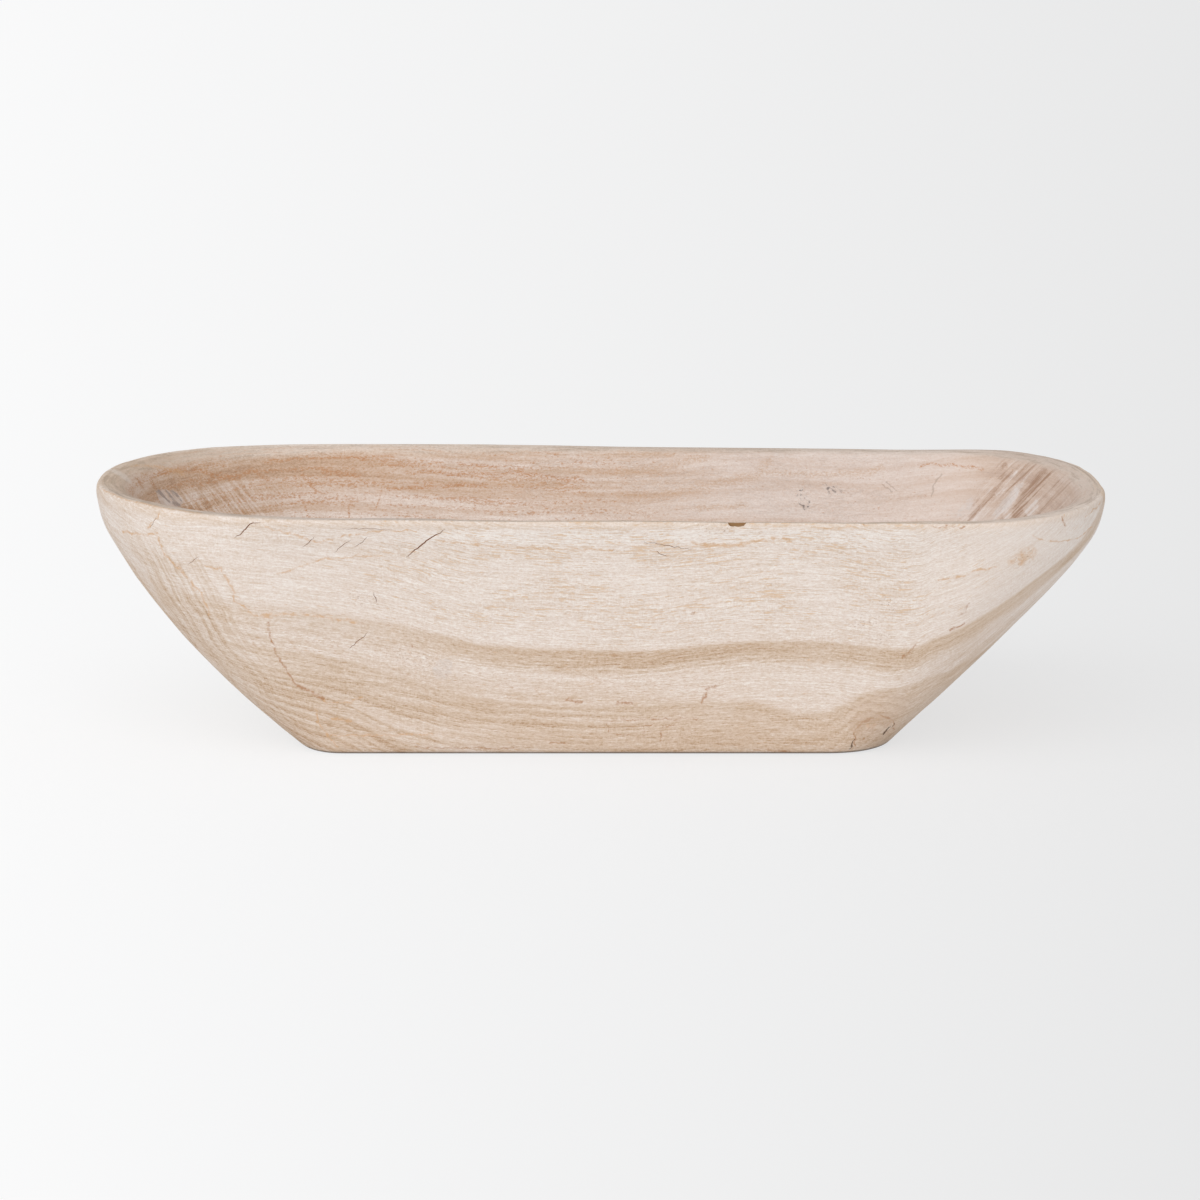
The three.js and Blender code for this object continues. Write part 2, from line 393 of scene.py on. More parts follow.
# %% [markdown]
# The outside is read by rods that come in level, the hollow's edge by rods that go out from the middle line,
# and the rim's top and the rest of the hollow by rods that drop from above.
# The rim's own height is read first, column by column, because the rim of the real bowl isn't level.
# Its top isn't level across either: worn by hands, it falls inwards, most of all at the back left.
# A row of five numbers is for the ways to face: front, left, right, left back and right back.

# %% Read the rim
RIM_SEARCH = 30
RIM_READ = 6 * MM
FALLS = (0.13, 0.1, 0.02, 0.2, 0.03)
FALL_FROM, FALL_FULL = -105 * MM, -45 * MM
FALL_FADES, FALL_ENDS = 130 * MM, 190 * MM
FACING_FROM, FACING_FULL = 0.25, 0.95
HALF_FROM, HALF_FULL = -20 * MM, 100 * MM


def ease(value, low, high):
    """0 below low, 1 above high, and a smooth rise between them."""
    share = min(1, max(0, (value - low) / (high - low)))
    return share * share * (3 - 2 * share)


def outside_at(column, height):
    """The outer wall at one height."""
    foot, out = column
    return reach(foot + out * FAR + UP * height, -out, UP)


def inside_at(column, height):
    """The hollow's wall at one height, read from the middle line."""
    foot, out = column
    return reach(foot + UP * height, out, UP)


def from_above(spot):
    """The surface straight below a place."""
    return reach(Vector((spot.x, spot.y, FAR)), -UP, ASLANT)


def facing(column):
    """How much a column faces front, left, right, left back and right back, each from 0 to 1."""
    foot, out = column
    ways = (-out.y, -out.x, out.x, out.y)
    front, left, right, back = [ease(way, FACING_FROM, FACING_FULL) for way in ways]
    left_half = ease(-foot.x, HALF_FROM, HALF_FULL)
    return front, left, right, back * left_half, back * (1 - left_half)


def by_facing(column, amounts):
    """One amount for a column, out of five for the ways that it may face."""
    return sum(share * amount for share, amount in zip(facing(column), amounts))


def read_rim(column):
    """The rim's outer and inner distance from the middle line, its height, and its fall inwards."""
    foot, out = column
    outer = (outside_at(column, cad_high.z - RIM_READ) - foot).dot(out)
    top = max(from_above(foot + out * (outer - i * MM)).z for i in range(1, RIM_SEARCH))
    inner = (inside_at(column, top - RIM_READ) - foot).dot(out)
    spot = foot + out * outer
    front_fall = FALLS[0] * ease(spot.x, FALL_FROM, FALL_FULL) * (1 - ease(spot.x, FALL_FADES, FALL_ENDS))
    return outer, inner, top, by_facing(column, (front_fall, *FALLS[1:]))


RIMS = [read_rim(column) for column in COLUMNS]
widths = [(rim[0] - rim[1]) / MM for rim in RIMS]
tops = [rim[2] / MM for rim in RIMS]
print("rim", round(min(widths), 1), "to", round(max(widths), 1), "mm wide,", end=" ")
print(round(min(tops), 1), "to", round(max(tops), 1), "mm high")

# %% [markdown]
# Each ring is one list of points. They start on the middle line under the bowl, run out across the base,
# climb the wall, cross the rim, and go down the hollow to the middle line again.
# Rings stand close together where the form turns sharply and wide apart where it is nearly straight.

# %% Read the rings
BASE_SHARES = (0, 0.55, 0.96)
WALL_HEIGHTS = (0.15, 1.2, 4, 9, 17, 28, 40, 53, 66, 79, 92, 105, 117, 128, 137, 143)
WALL_SCALE = 150
LIP_DROPS = (5, 2.4, 0.7)
TOP_SHARES = (0.93, 0.65, 0.36, 0.14)
INNER_DROPS = (2.2, 6)
HOLLOW_SHARES = (0.95, 0.87, 0.78, 0.68, 0.57, 0.45, 0.32, 0.18, 0)
GROUND = 0.15 * MM


def base_ring(share):
    """A ring on the flat underside."""
    ring = []
    for column in COLUMNS:
        foot = column[0]
        edge = outside_at(column, GROUND)
        ring.append(Vector((foot.x + (edge.x - foot.x) * share, edge.y * share, 0)))
    return ring


def wall_ring(height):
    """A ring on the outer wall, as a share of each column's own rim height."""
    return [outside_at(column, height / WALL_SCALE * rim[2]) for column, rim in zip(COLUMNS, RIMS)]


def lip_ring(drop):
    """A ring on the outer wall, a little below the rim's top."""
    return [outside_at(column, rim[2] - drop * MM) for column, rim in zip(COLUMNS, RIMS)]


def top_ring(share):
    """A ring on the rim's top, from the hollow's edge, 0, to the outer edge, 1."""
    ring = []
    for (foot, out), (outer, inner, _, fall) in zip(COLUMNS, RIMS):
        spot = from_above(foot + out * (inner + (outer - inner) * share))
        spot.z -= fall * (outer - inner) * (1 - share)
        ring.append(spot)
    return ring


def inner_ring(drop):
    """A ring on the hollow's wall, a little below the rim's top."""
    ring = []
    for column, (outer, inner, top, fall) in zip(COLUMNS, RIMS):
        ring.append(inside_at(column, top - drop * MM - fall * (outer - inner)))
    return ring


def hollow_ring(share):
    """A ring in the hollow, at a share of the way from the middle line to the rim."""
    return [from_above(foot + out * (rim[1] * share)) for (foot, out), rim in zip(COLUMNS, RIMS)]


rings = [base_ring(share) for share in BASE_SHARES]
rings += [wall_ring(height) for height in WALL_HEIGHTS]
rings += [lip_ring(drop) for drop in LIP_DROPS]
first_top = len(rings)
rings += [top_ring(share) for share in TOP_SHARES]
first_inner = len(rings)
rings += [inner_ring(drop) for drop in INNER_DROPS]
rings += [hollow_ring(share) for share in HOLLOW_SHARES]
print(len(rings), "rings of", len(COLUMNS), "points")

# %% [markdown]
# Where hands lift the bowl, both edges of the rim are worn round, the left end most of all.
# A bevel would give the same radius everywhere. Here each point near an edge is drawn towards the middle
# of its two neighbours, a few times over, and how strongly depends on the way that its column faces.
# Rounding takes height away, and the last step gives it back: the rings at the rim are lifted a little.

# %% Wear the edges round
INNER_WEAR = (0.15, 0.75, 0.45, 0.65, 0.25)
OUTER_WEAR = (0.08, 0.35, 0.25, 0.25, 0.2)
WEAR_ROUNDS = 5
WEAR_PULL = 0.5
INNER_EDGE = (first_top + 1, first_inner + 5)
OUTER_EDGE = (first_top - 2, first_top + 2)
LIFT_FROM = first_top - 3
LIFTS = (0, 2.4, 1.5, 0.8, -0.8)
LIFT_SHARES = (0.3, 0.65, 1, 1, 1, 1, 0.9, 0.7, 0.4)


def wear_round(first, last, amounts):
    """Rounds some rings, by amounts for the five ways that a column may face."""
    for _ in range(WEAR_ROUNDS):
        before = [[point.copy() for point in ring] for ring in rings]
        for number in range(first, last):
            for i, column in enumerate(COLUMNS):
                wear = min(1, by_facing(column, amounts))
                middle = (before[number - 1][i] + before[number + 1][i]) / 2
                rings[number][i] = before[number][i].lerp(middle, WEAR_PULL * wear)


wear_round(*INNER_EDGE, INNER_WEAR)
wear_round(*OUTER_EDGE, OUTER_WEAR)
for number, share in enumerate(LIFT_SHARES, LIFT_FROM):
    for i, column in enumerate(COLUMNS):
        rings[number][i].z += by_facing(column, LIFTS) * share * MM
print("inner edge worn by", INNER_WEAR, "and outer edge by", OUTER_WEAR)

# %% [markdown]
# A circle with one point for each column is the start of the skin.
# It is extruded once for every ring, and after each extrusion the new points are laid on that ring.
# A number layer remembers which column a point belongs to, because an extrusion copies it to the new point.
# Two more layers say how far a point is in the hollow and how far across the rim, for the finish to read.

# %% Extrude the skin
INTO_HOLLOW = 6
SOONER = (0, 3.6, 4.2, 4.4, 4.2)


def hollow_share(number, column):
    """How far a ring is in the hollow: the look of the hollow starts higher at the ends and the back."""
    steps = INTO_HOLLOW - by_facing(column, SOONER)
    return min(1, max(0, (number - first_top) / max(1, steps)))


def across_rim(number):
    """How far a ring is across the rim, from 0 on the outer wall to 1 in the hollow."""
    if number < first_top:
        return 0.0
    return 1.0 if number >= first_inner else 1 - TOP_SHARES[number - first_top]


def lay_ring(piece, ring, in_hollow, over_rim):
    """Puts the selected points of the skin on a ring."""
    mesh = bmesh.from_edit_mesh(piece.data)
    column = mesh.verts.layers.int["column"]
    hollow = mesh.verts.layers.float["hollow"]
    across = mesh.verts.layers.float["across"]
    for point in mesh.verts:
        if point.select:
            point.co = ring[point[column]]
            point[hollow] = in_hollow[point[column]]
            point[across] = over_rim
    bmesh.update_edit_mesh(piece.data)


bpy.ops.object.select_all(action="DESELECT")
bpy.ops.mesh.primitive_circle_add(vertices=len(COLUMNS), radius=SPINE, fill_type="NOTHING")
bowl = bpy.context.object
bowl.name = "dug_out_bowl"
bpy.ops.object.mode_set(mode="EDIT")
skin = bmesh.from_edit_mesh(bowl.data)
skin.verts.layers.int.new("column")
skin.verts.layers.float.new("hollow")
skin.verts.layers.float.new("across")
skin.verts.ensure_lookup_table()
for number in range(len(COLUMNS)):
    skin.verts[number][skin.verts.layers.int["column"]] = number
bpy.ops.mesh.select_all(action="SELECT")
for number, ring in enumerate(rings):
    if number > 0:
        bpy.ops.mesh.extrude_region_move(TRANSFORM_OT_translate={"value": (0, 0, MM)})
    in_hollow = [hollow_share(number, column) for column in COLUMNS]
    lay_ring(bowl, ring, in_hollow, across_rim(number))
merge_points(bowl, SAME_PLACE)
bowl.data.attributes.remove(bowl.data.attributes["column"])
print("skin of", len(bowl.data.polygons), "faces")

# %% [markdown]
# Two levels of Subdivision Surface turn the coarse skin into a fine one that is round without facets.
# The modifier is applied, because the marks of hand work that follow need real points to push.


# %% Round the skin
def apply(piece, kind, **settings):
    """Adds a modifier with its settings and applies it at once."""
    only(piece)
    modifier = piece.modifiers.new(kind.lower(), kind)
    for name, value in settings.items():
        setattr(modifier, name, value)
    bpy.ops.object.modifier_apply(modifier=modifier.name)


apply(bowl, "SUBSURF", levels=2, render_levels=2)
print("rounded skin of", len(bowl.data.polygons), "faces")

# %% [markdown]
# No face of a hand-made bowl is quite flat. Three displacements give it that:
# slow waves from the axe and drawknife, long shallow plane strokes outside, and gouge scallops in the hollow.
# Each is a Displace modifier with a cloud texture. A stretched empty turns clouds into strokes.
# Weight groups keep the underside flat and keep the scallops inside.

# %% Hand marks
WAVES = {"depth": 1.5 * MM, "size": 75 * MM, "stretch": (1.6, 1, 1)}
PLANE_STROKES = {"depth": 0.55 * MM, "size": 13 * MM, "stretch": (7, 1, 1)}
SCALLOPS = {"depth": 1.1 * MM, "size": 11 * MM, "stretch": (1, 1, 2.5)}
SETTLE = 10 * MM


def weight_group(piece, name, weigh):
    """A vertex group whose weight comes from a function of a point's place and its share of hollow."""
    group = piece.vertex_groups.new(name=name)
    hollow = piece.data.attributes["hollow"].data
    for point in piece.data.vertices:
        weight = weigh(point.co, hollow[point.index].value)
        if weight > 0:
            group.add([point.index], weight, "REPLACE")
    return name


def displace(piece, name, group, depth, size, stretch):
    """Pushes a piece's points in and out by soft clouds, stretched along the three axes."""
    clouds = bpy.data.textures.new(name, "CLOUDS")
    clouds.noise_scale = size
    clouds.noise_depth = 1
    ruler = bpy.data.objects.new(name, None)
    bpy.context.scene.collection.objects.link(ruler)
    ruler.scale = stretch
    bpy.context.view_layer.update()
    apply(piece, "DISPLACE", texture=clouds, texture_coords="OBJECT", texture_coords_object=ruler,
          strength=depth, mid_level=0.5, vertex_group=group)
    bpy.data.objects.remove(ruler)


above_ground = weight_group(bowl, "above_ground", lambda place, inside: ease(place.z, 0, SETTLE))
outside = weight_group(bowl, "outside", lambda place, inside: ease(place.z, 0, SETTLE) * (1 - inside))
hollowed = weight_group(bowl, "hollowed", lambda place, inside: inside)
displace(bowl, "axe_waves", above_ground, **WAVES)
displace(bowl, "plane_strokes", outside, **PLANE_STROKES)
displace(bowl, "gouge_scallops", hollowed, **SCALLOPS)
bowl.vertex_groups.clear()
print("hand marks on", len(bowl.data.vertices), "points")

# %% [markdown]
# The knot and the fillings lie flush in the bowl, so each is peeled from the bowl's own skin:
# faces that lie over its solid are copied off, given more faces, and thickened a little.
# A layer called patch is 1 over the solid and falls to 0 at the flake's edge, so that the finish can fade
# into the wood around it. This is done before the cracks are cut, while the skin is still whole.

# %% Peel off the flush pieces
PATCH_FULL, PATCH_FADE = 0.8 * MM, 3.5 * MM
FLAKE_THICK = 0.8 * MM
FLAKE_PROUD = 0.12 * MM
FLAKE_CUTS = 2
CREASE = math.radians(40)


def peel(name, node):
    """A thin flake of the bowl's skin over one solid."""
    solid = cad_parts[node]
    low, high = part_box(node)
    margin = Vector((PATCH_FADE, PATCH_FADE, PATCH_FADE))
    low, high = low - margin, high + margin
    chosen = []
    for face in bowl.data.polygons:
        spot = face.center
        if all(a <= v <= b for a, v, b in zip(low, spot, high)):
            found, near, _, _ = solid.closest_point_on_mesh(spot)
            if found and (near - spot).length < PATCH_FADE:
                chosen.append(face.index)
    only(bowl)
    bpy.ops.object.mode_set(mode="EDIT")
    bpy.ops.mesh.select_all(action="DESELECT")
    bpy.ops.object.mode_set(mode="OBJECT")
    for number in chosen:
        bowl.data.polygons[number].select = True
    bpy.ops.object.mode_set(mode="EDIT")
    bpy.ops.mesh.duplicate()
    bpy.ops.mesh.separate(type="SELECTED")
    bpy.ops.object.mode_set(mode="OBJECT")
    flake = next(piece for piece in bpy.context.selected_objects if piece != bowl)
    flake.name = name
    only(flake)
    bpy.ops.object.mode_set(mode="EDIT")
    bpy.ops.mesh.select_all(action="SELECT")
    bpy.ops.mesh.subdivide(number_cuts=FLAKE_CUTS, smoothness=0)
    bpy.ops.object.mode_set(mode="OBJECT")
    patch = flake.data.attributes.new("patch", "FLOAT", "POINT")
    for point in flake.data.vertices:
        _, near, _, _ = solid.closest_point_on_mesh(point.co)
        patch.data[point.index].value = 1 - ease((near - point.co).length, PATCH_FULL, PATCH_FADE)
    apply(flake, "SOLIDIFY", thickness=FLAKE_THICK, offset=2 * FLAKE_PROUD / FLAKE_THICK - 1)
    only(flake)
    bpy.ops.object.shade_smooth_by_angle(angle=CREASE)
    return flake


FILLERS = [node for node in sorted(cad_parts) if node.startswith("filler")]
knot = peel("dead_knot", "corner_knot")
fillings = {node: peel(node.replace("filler", "filling"), node) for node in FILLERS}
for flake in (knot, *fillings.values()):
    print(flake.name, len(flake.data.polygons), "faces")

# %% [markdown]
# Drying has opened fine cracks, most of them on the upper left, and a chip is missing from the front edge.
# Each crack is drawn as a curve along the wall that swells in the middle, and made a thin tube.
# Its row gives the width and then the points, along and up, in millimetres.
# The tubes and a rough block for the chip are joined to one tool, and a Boolean cuts it out of the bowl.
# The cut faces take the tool's dark material: the brown of the wood inside, darkened further as painted shade
# so that a crack looks deep from any side.

# %% Cracks and the chip
CRACKS = (
    (0.7, ((-193, 149), (-200, 147.5), (-203, 143), (-209, 138.5))),
    (0.42, ((-163, 140.5), (-166, 137), (-170, 133.5))),
    (0.34, ((-142, 138.5), (-147, 135), (-152, 130.5))),
    (0.3, ((-132, 140.5), (-136, 137), (-141, 133.5))),
    (0.8, ((-88, 145), (-96, 140), (-103, 134), (-111, 127.5))),
    (0.3, ((-256, 147), (-261, 139))),
    (0.3, ((-231, 126), (-238, 119.5))),
    (0.4, ((-134, 80.5), (-140, 75), (-146, 69.5))),
    (0.5, ((-130, 105.5), (-129, 99))),
    (0.36, ((23, 137.2), (31, 136.2), (38, 134.8), (46, 133.6), (53, 132.4))),
    (0.4, ((31, 131.6), (39, 128.2))),
    (0.28, ((-148, 145.2), (-133, 145.5), (-118, 144.6))),
)
CRACK_STEP = 1.8
CRACK_STRAY = 0.45
CRACK_SEED = 4
CRACK_TIP, CRACK_SWELL = 0.12, 0.7
CUT_MERGE = 0.002 * MM
CHIP_X, CHIP_SIZE = 78 * MM, (10.5 * MM, 7 * MM, 8 * MM)
CHIP_DEEP, CHIP_FOOT = 1.4 * MM, 0.75
CHIP_READ = 144
CHIP_CUTS, CHIP_ROUGH, CHIP_SEED = 3, 0.4 * MM, 3

stray = random.Random(CRACK_SEED)


def on_front(x, z):
    """The bowl's front surface at a place given in millimetres."""
    _, spot, _, _ = bowl.ray_cast(Vector((x * MM, -FAR, z * MM)), Vector((0, 1, 0)))
    return spot


def along(points):
    """A row of points closer together, each a little astray, as a crack runs."""
    row = []
    for (xa, za), (xb, zb) in zip(points, points[1:]):
        count = max(2, round(math.hypot(xb - xa, zb - za) / CRACK_STEP))
        for i in range(count):
            share = i / count
            row.append((xa + (xb - xa) * share + stray.uniform(-1, 1) * CRACK_STRAY,
                        za + (zb - za) * share + stray.uniform(-1, 1) * CRACK_STRAY))
    return row + [points[-1]]


def crack(width, points):
    """A thin tube along the wall, thick in the middle and pointed at both ends."""
    row = along(points)
    curve = bpy.data.curves.new("crack", "CURVE")
    curve.dimensions = "3D"
    curve.bevel_depth = width * MM / 2
    curve.bevel_resolution = 1
    curve.use_fill_caps = True
    line = curve.splines.new("POLY")
    line.points.add(len(row) - 1)
    for i, (x, z) in enumerate(row):
        line.points[i].co = (*on_front(x, z), 1)
        swell = math.sin(math.pi * i / (len(row) - 1)) ** CRACK_SWELL
        line.points[i].radius = CRACK_TIP + (1 - CRACK_TIP) * swell
    tube = bpy.data.objects.new("crack", curve)
    bpy.context.scene.collection.objects.link(tube)
    only(tube)
    bpy.ops.object.convert(target="MESH")
    return bpy.context.object


def chip():
    """A rough block over the front edge, narrower below."""
    edge = on_front(CHIP_X / MM, CHIP_READ)
    _, top, _, _ = bowl.ray_cast(edge + Vector((0, CHIP_SIZE[1] / 2, FAR)), -UP)
    middle = top.z - CHIP_DEEP + CHIP_SIZE[2] / 2
    bpy.ops.object.select_all(action="DESELECT")
    bpy.ops.mesh.primitive_cube_add(size=1, location=(CHIP_X, edge.y, middle), scale=CHIP_SIZE)
    bpy.ops.object.transform_apply(location=True, rotation=True, scale=True)
    block = bpy.context.object
    bpy.ops.object.mode_set(mode="EDIT")
    bpy.ops.mesh.subdivide(number_cuts=CHIP_CUTS)
    bpy.ops.transform.vertex_random(offset=CHIP_ROUGH, uniform=1, seed=CHIP_SEED)
    bpy.ops.object.mode_set(mode="OBJECT")
    for point in block.data.vertices:
        if point.co.z < middle - CHIP_SIZE[2] / 3:
            point.co.x = CHIP_X + (point.co.x - CHIP_X) * CHIP_FOOT
    return block


def plain(name, colour):
    """A matt material of one colour, for the insides of cuts."""
    finish, shader = blank_finish(name, MATT_ROUGHNESS, MATT_GLOSS)
    shader.inputs["Base Color"].default_value = colour
    return finish


# The crack brown is partly the wood's own colour inside a crack and partly painted shade.
CRACK_BROWN_AND_SHADE = plain("crack_brown_and_shade", paint(138, 96, 68))
CHIP_BROWN = plain("chip_brown", paint(160, 126, 90))
tubes = [crack(width, points) for width, points in CRACKS]
cutters = [(tube, CRACK_BROWN_AND_SHADE) for tube in tubes] + [(chip(), CHIP_BROWN)]
bpy.ops.object.select_all(action="DESELECT")
for cutter, brown in cutters:
    cutter.data.materials.clear()
    cutter.data.materials.append(brown)
    cutter.select_set(True)
bpy.context.view_layer.objects.active = tubes[0]
bpy.ops.object.join()
tool = bpy.context.object
merge_points(tool, CUT_MERGE)
print("crack tool of", len(tool.data.polygons), "faces")

# %% [markdown]
# Growth rings are cylinders around the middle of the log, which lay below this bowl's base.
# So the distance from a line under the base gives the ring, and the wall cuts the rings into long stripes.
# The tree wasn't straight: two curves, given point by point, give, along the bowl, the ring of the dark
# stripe and the ring at the bottom of the tan heart. Everything else follows between the two.
# From here on the recipes count in millimetres: a step gives the places, or the values of a noise, between
# which it rises, and the scales of a noise are clouds to a millimetre. A plain number among the three
# that a noise is read along only picks another sheet of the clouds.

# %% The grain field
PITH_DEPTH = 100.0
STRIPE_LINE = (
    (-320, 212), (-258, 217), (-202, 228), (-156, 223.6), (-116, 217), (-87, 208.8), (-58, 203.2),
    (-23, 200.6), (12, 199.9), (35, 201), (58, 203.5), (93, 206), (128, 205.5), (157, 202),
    (174, 200.5), (192, 206), (209, 212), (232, 222.8), (256, 233.8), (274, 240.6), (320, 256),
)
HEART_LINE = (
    (-320, 196), (-258, 190), (-180, 186), (-105, 160), (-23, 147), (40, 147), (82, 145), (108, 133),
    (120, 128), (141, 138), (158, 156), (187, 162), (212, 153), (260, 150), (320, 160),
)


def millimetres(recipe):
    """The place on a piece, as three numbers in millimetres."""
    return recipe.parts(recipe.scaled(recipe.node("ShaderNodeTexCoord", {}).outputs["Object"], 1 / MM))


def grain_field(recipe):
    """The place in millimetres, the height over the stripe, and the share of the way from heart to stripe."""
    x, y, z = millimetres(recipe)
    slow = recipe.noise((x, y, z), (0.012, 0.02, 0.02))
    quick = recipe.noise((x, y, z), (0.03, 0.1, 0.1), 3.0)
    behind = recipe.step(y, 0.0, 120.0)
    drift = recipe.noise((x, 7.0, z), (0.011, 1.0, 0.006), 1.0)
    height = recipe.add(z, PITH_DEPTH)
    round_pith = recipe.sum("SQRT", recipe.add(recipe.times(y, y), recipe.times(height, height)))
    ring = recipe.add(
        round_pith,
        recipe.swing(slow, 5.0),
        recipe.swing(quick, 3.0),
        recipe.times(recipe.swing(drift, 90.0), behind),
    )
    stripe = recipe.curve(x, STRIPE_LINE)
    heart = recipe.curve(x, HEART_LINE)
    over = recipe.less(ring, stripe)
    share = recipe.sum("DIVIDE", recipe.less(ring, heart), recipe.less(stripe, heart))
    return {"x": x, "y": y, "z": z, "over": over, "share": share, "stripe": stripe}


print(len(STRIPE_LINE) + len(HEART_LINE), "points draw the grain")

# %% [markdown]
# The eye knows wood by its threads, so four fine textures are laid over everything: long threads and short
# flecks along the grain, a small speckle, and upright ticks that coarse sandpaper left across the grain.
# All of them swing about nothing, so they can simply be added.
# At the right the wood is denser and smoother, and the first three are calmer there.


# %% Threads, flecks, speckle and ticks
def fine_texture(recipe, grain):
    """The fine textures, each swinging about nothing, and the slow patches of a thinner wash."""
    x, y, z, over = grain["x"], grain["y"], grain["z"], grain["over"]
    calm = recipe.step(x, 170.0, 235.0, 1.0, 0.6)
    thread = recipe.noise((x, over, y), (0.05, 1.0, 0.05), 4.0, 0.65)
    fleck = recipe.noise((x, over, y), (0.28, 1.4, 0.3), 3.0, 0.7)
    speckle = recipe.noise((x, z, y), (0.6, 1.0, 0.7), 4.0, 0.8)
    tick = recipe.noise((x, z, y), (1.2, 0.25, 0.3), 3.0, 0.7)
    patch = recipe.noise((x, y, z), (0.022, 0.03, 0.035), 3.0, 0.6)
    sanded = recipe.step(patch, 0.42, 0.6)
    return {
        "thread": recipe.times(recipe.swing(thread, 1.0), calm),
        "fleck": recipe.times(recipe.swing(fleck, 1.0), calm),
        "speckle": recipe.times(recipe.swing(speckle, 1.0), calm),
        "tick": recipe.times(recipe.swing(tick, 1.0), sanded),
        "patch": patch,
    }


print("fine textures ready")

# %% [markdown]
# Outside, the white wash leaves three tones: pale above the stripe, the tan stripe, and the tan heart below.
# A tone from 0, washed, to 1, bare, is built up from the grain field and coloured at the end.
# Towards each end the layers of the wood run out along the slope, so there the lines follow the outline.

# %% Tones of the outside
STRIPE_STRENGTH = (
    (-320, 0.15), (-200, 0.35), (-120, 0.55), (-60, 0.9), (0, 1), (90, 0.93), (136, 0.72), (180, 0.88),
    (230, 0.85), (320, 0.4),
)
LEFT_SLOPE, RIGHT_SLOPE = 0.565, 1.1


def stripe_tone(recipe, grain, fine):
    """The dark stripe, with edges that fray along the fibres, less so at the right."""
    x = grain["x"]
    fray = recipe.step(x, 60.0, 170.0, 1.0, 0.4)
    ragged = recipe.add(recipe.times(fine["thread"], 11.0), recipe.times(fine["speckle"], 6.0))
    over = recipe.add(grain["over"], recipe.times(ragged, fray))
    broken = recipe.noise((x, over, 0.0), (0.02, 0.3, 1.0), 4.0, 0.6)
    band = recipe.between(over, -14.0, -3.0, 3.5, 6.5)
    strength = recipe.curve(x, STRIPE_STRENGTH)
    return recipe.times(band, strength, recipe.add(0.6, recipe.times(broken, 0.7)))


def heart_tone(recipe, grain, fine):
    """The tan heart: nearly plain at the right, a slow change full of lines at the left."""
    x = grain["x"]
    right = recipe.step(x, -20.0, 90.0)
    fray = recipe.add(0.14, recipe.times(right, -0.09))
    ragged = recipe.add(recipe.times(fine["thread"], fray), recipe.times(fine["speckle"], 0.06))
    share = recipe.add(grain["share"], ragged)
    lines = recipe.noise((x, share, 3.0), (0.006, 13.0, 1.0), 6.0, 0.66)
    slow_edge = recipe.step(share, 0.95, 0.05)
    plain_edge = recipe.step(share, 0.5, 0.38)
    edge = recipe.add(recipe.times(right, plain_edge), recipe.times(recipe.less(1.0, right), slow_edge))
    palest = recipe.add(0.28, recipe.times(right, 0.24))
    darkest = recipe.add(1.2, recipe.times(right, -0.34))
    near_end = recipe.times(recipe.step(x, -220.0, -170.0, 0.55, 1.0), recipe.step(x, 160.0, 195.0, 1.0, 0.7))
    return recipe.times(edge, near_end, recipe.step(lines, 0.34, 0.66, palest, darkest))


def end_tone(recipe, grain):
    """Lines along the slope of both ends."""
    x, y, z = grain["x"], grain["y"], grain["z"]
    bend = recipe.noise((x, z, y), (0.02, 0.025, 0.02), 3.0)
    left_run = recipe.add(x, recipe.times(z, LEFT_SLOPE), recipe.swing(bend, 18.0))
    right_run = recipe.add(x, recipe.times(z, -RIGHT_SLOPE), recipe.swing(bend, 10.0))
    left = recipe.noise((left_run, z, y), (0.4, 0.01, 0.02), 5.0, 0.7)
    right = recipe.noise((right_run, z, y), (0.22, 0.01, 0.02), 5.0, 0.65)
    left = recipe.times(recipe.step(left, 0.4, 0.68), recipe.step(left_run, -138.0, -182.0))
    right = recipe.times(recipe.step(right, 0.42, 0.66), recipe.step(right_run, 128.0, 146.0))
    left_share = recipe.step(z, 35.0, 85.0, 0.45, 0.95)
    right_share = recipe.step(z, 35.0, 55.0, 0.0, 0.5)
    both = recipe.add(recipe.times(left, left_share), recipe.times(right, right_share))
    return recipe.times(both, recipe.step(z, 150.0, 110.0))


def outside_tone(recipe, grain, fine):
    """How bare the washed wood is, from 0 to about 1, with painted shade at the lip and painted light at the
    right end.
    """
    x, y, z, over = grain["x"], grain["y"], grain["z"], grain["over"]
    upper = recipe.noise((x, over, 9.0), (0.006, 0.18, 1.0), 5.0, 0.64)
    upper_lines = recipe.times(recipe.step(upper, 0.4, 0.75), recipe.step(x, -60.0, -180.0, 0.1, 0.35))
    low_grey = recipe.times(recipe.step(z, 92.0, 65.0), recipe.step(x, -100.0, 120.0), 0.15)
    # Painted light: the right end, which the sun leaves in shade, is made paler.
    right_end_painted_light = recipe.step(x, 225.0, 285.0, 0.0, -0.16)
    # Painted shade: the top few millimetres of the outer wall are darkened, because the rounded lip catches
    # more light.
    lip = recipe.times(recipe.step(z, 143.5, 147.0), 0.3)
    under_lip = recipe.between(z, 134.0, 138.0, 142.0, 146.0)
    chalk = recipe.times(under_lip, recipe.between(x, -130.0, -90.0, 150.0, 190.0))
    return recipe.add(
        stripe_tone(recipe, grain, fine),
        heart_tone(recipe, grain, fine),
        end_tone(recipe, grain),
        upper_lines,
        low_grey,
        right_end_painted_light,
        lip,
        recipe.times(chalk, recipe.step(y, -60.0, -100.0), -0.25),
    )


print(len(STRIPE_STRENGTH), "points weigh the stripe")

# %% [markdown]
# Orange hairlines show where the wash has missed the open grain, most in the upper middle,
# and rows of orange-brown specks follow the edge of the stripe and of the heart.
# All are noise that is stretched along the grain and cut off high, so that only its peaks are left.

# %% Colour of the outside
CHALKED = paint(242, 235, 228)
WASHED = paint(230, 217, 207)
BARE = paint(208, 185, 162)
DEEP = paint(171, 134, 101)
OUTSIDE_TONES = ((-0.5, CHALKED), (0.0, WASHED), (1.0, BARE), (1.9, DEEP))
PORE, SPECK = paint(220, 187, 152), paint(190, 150, 114)


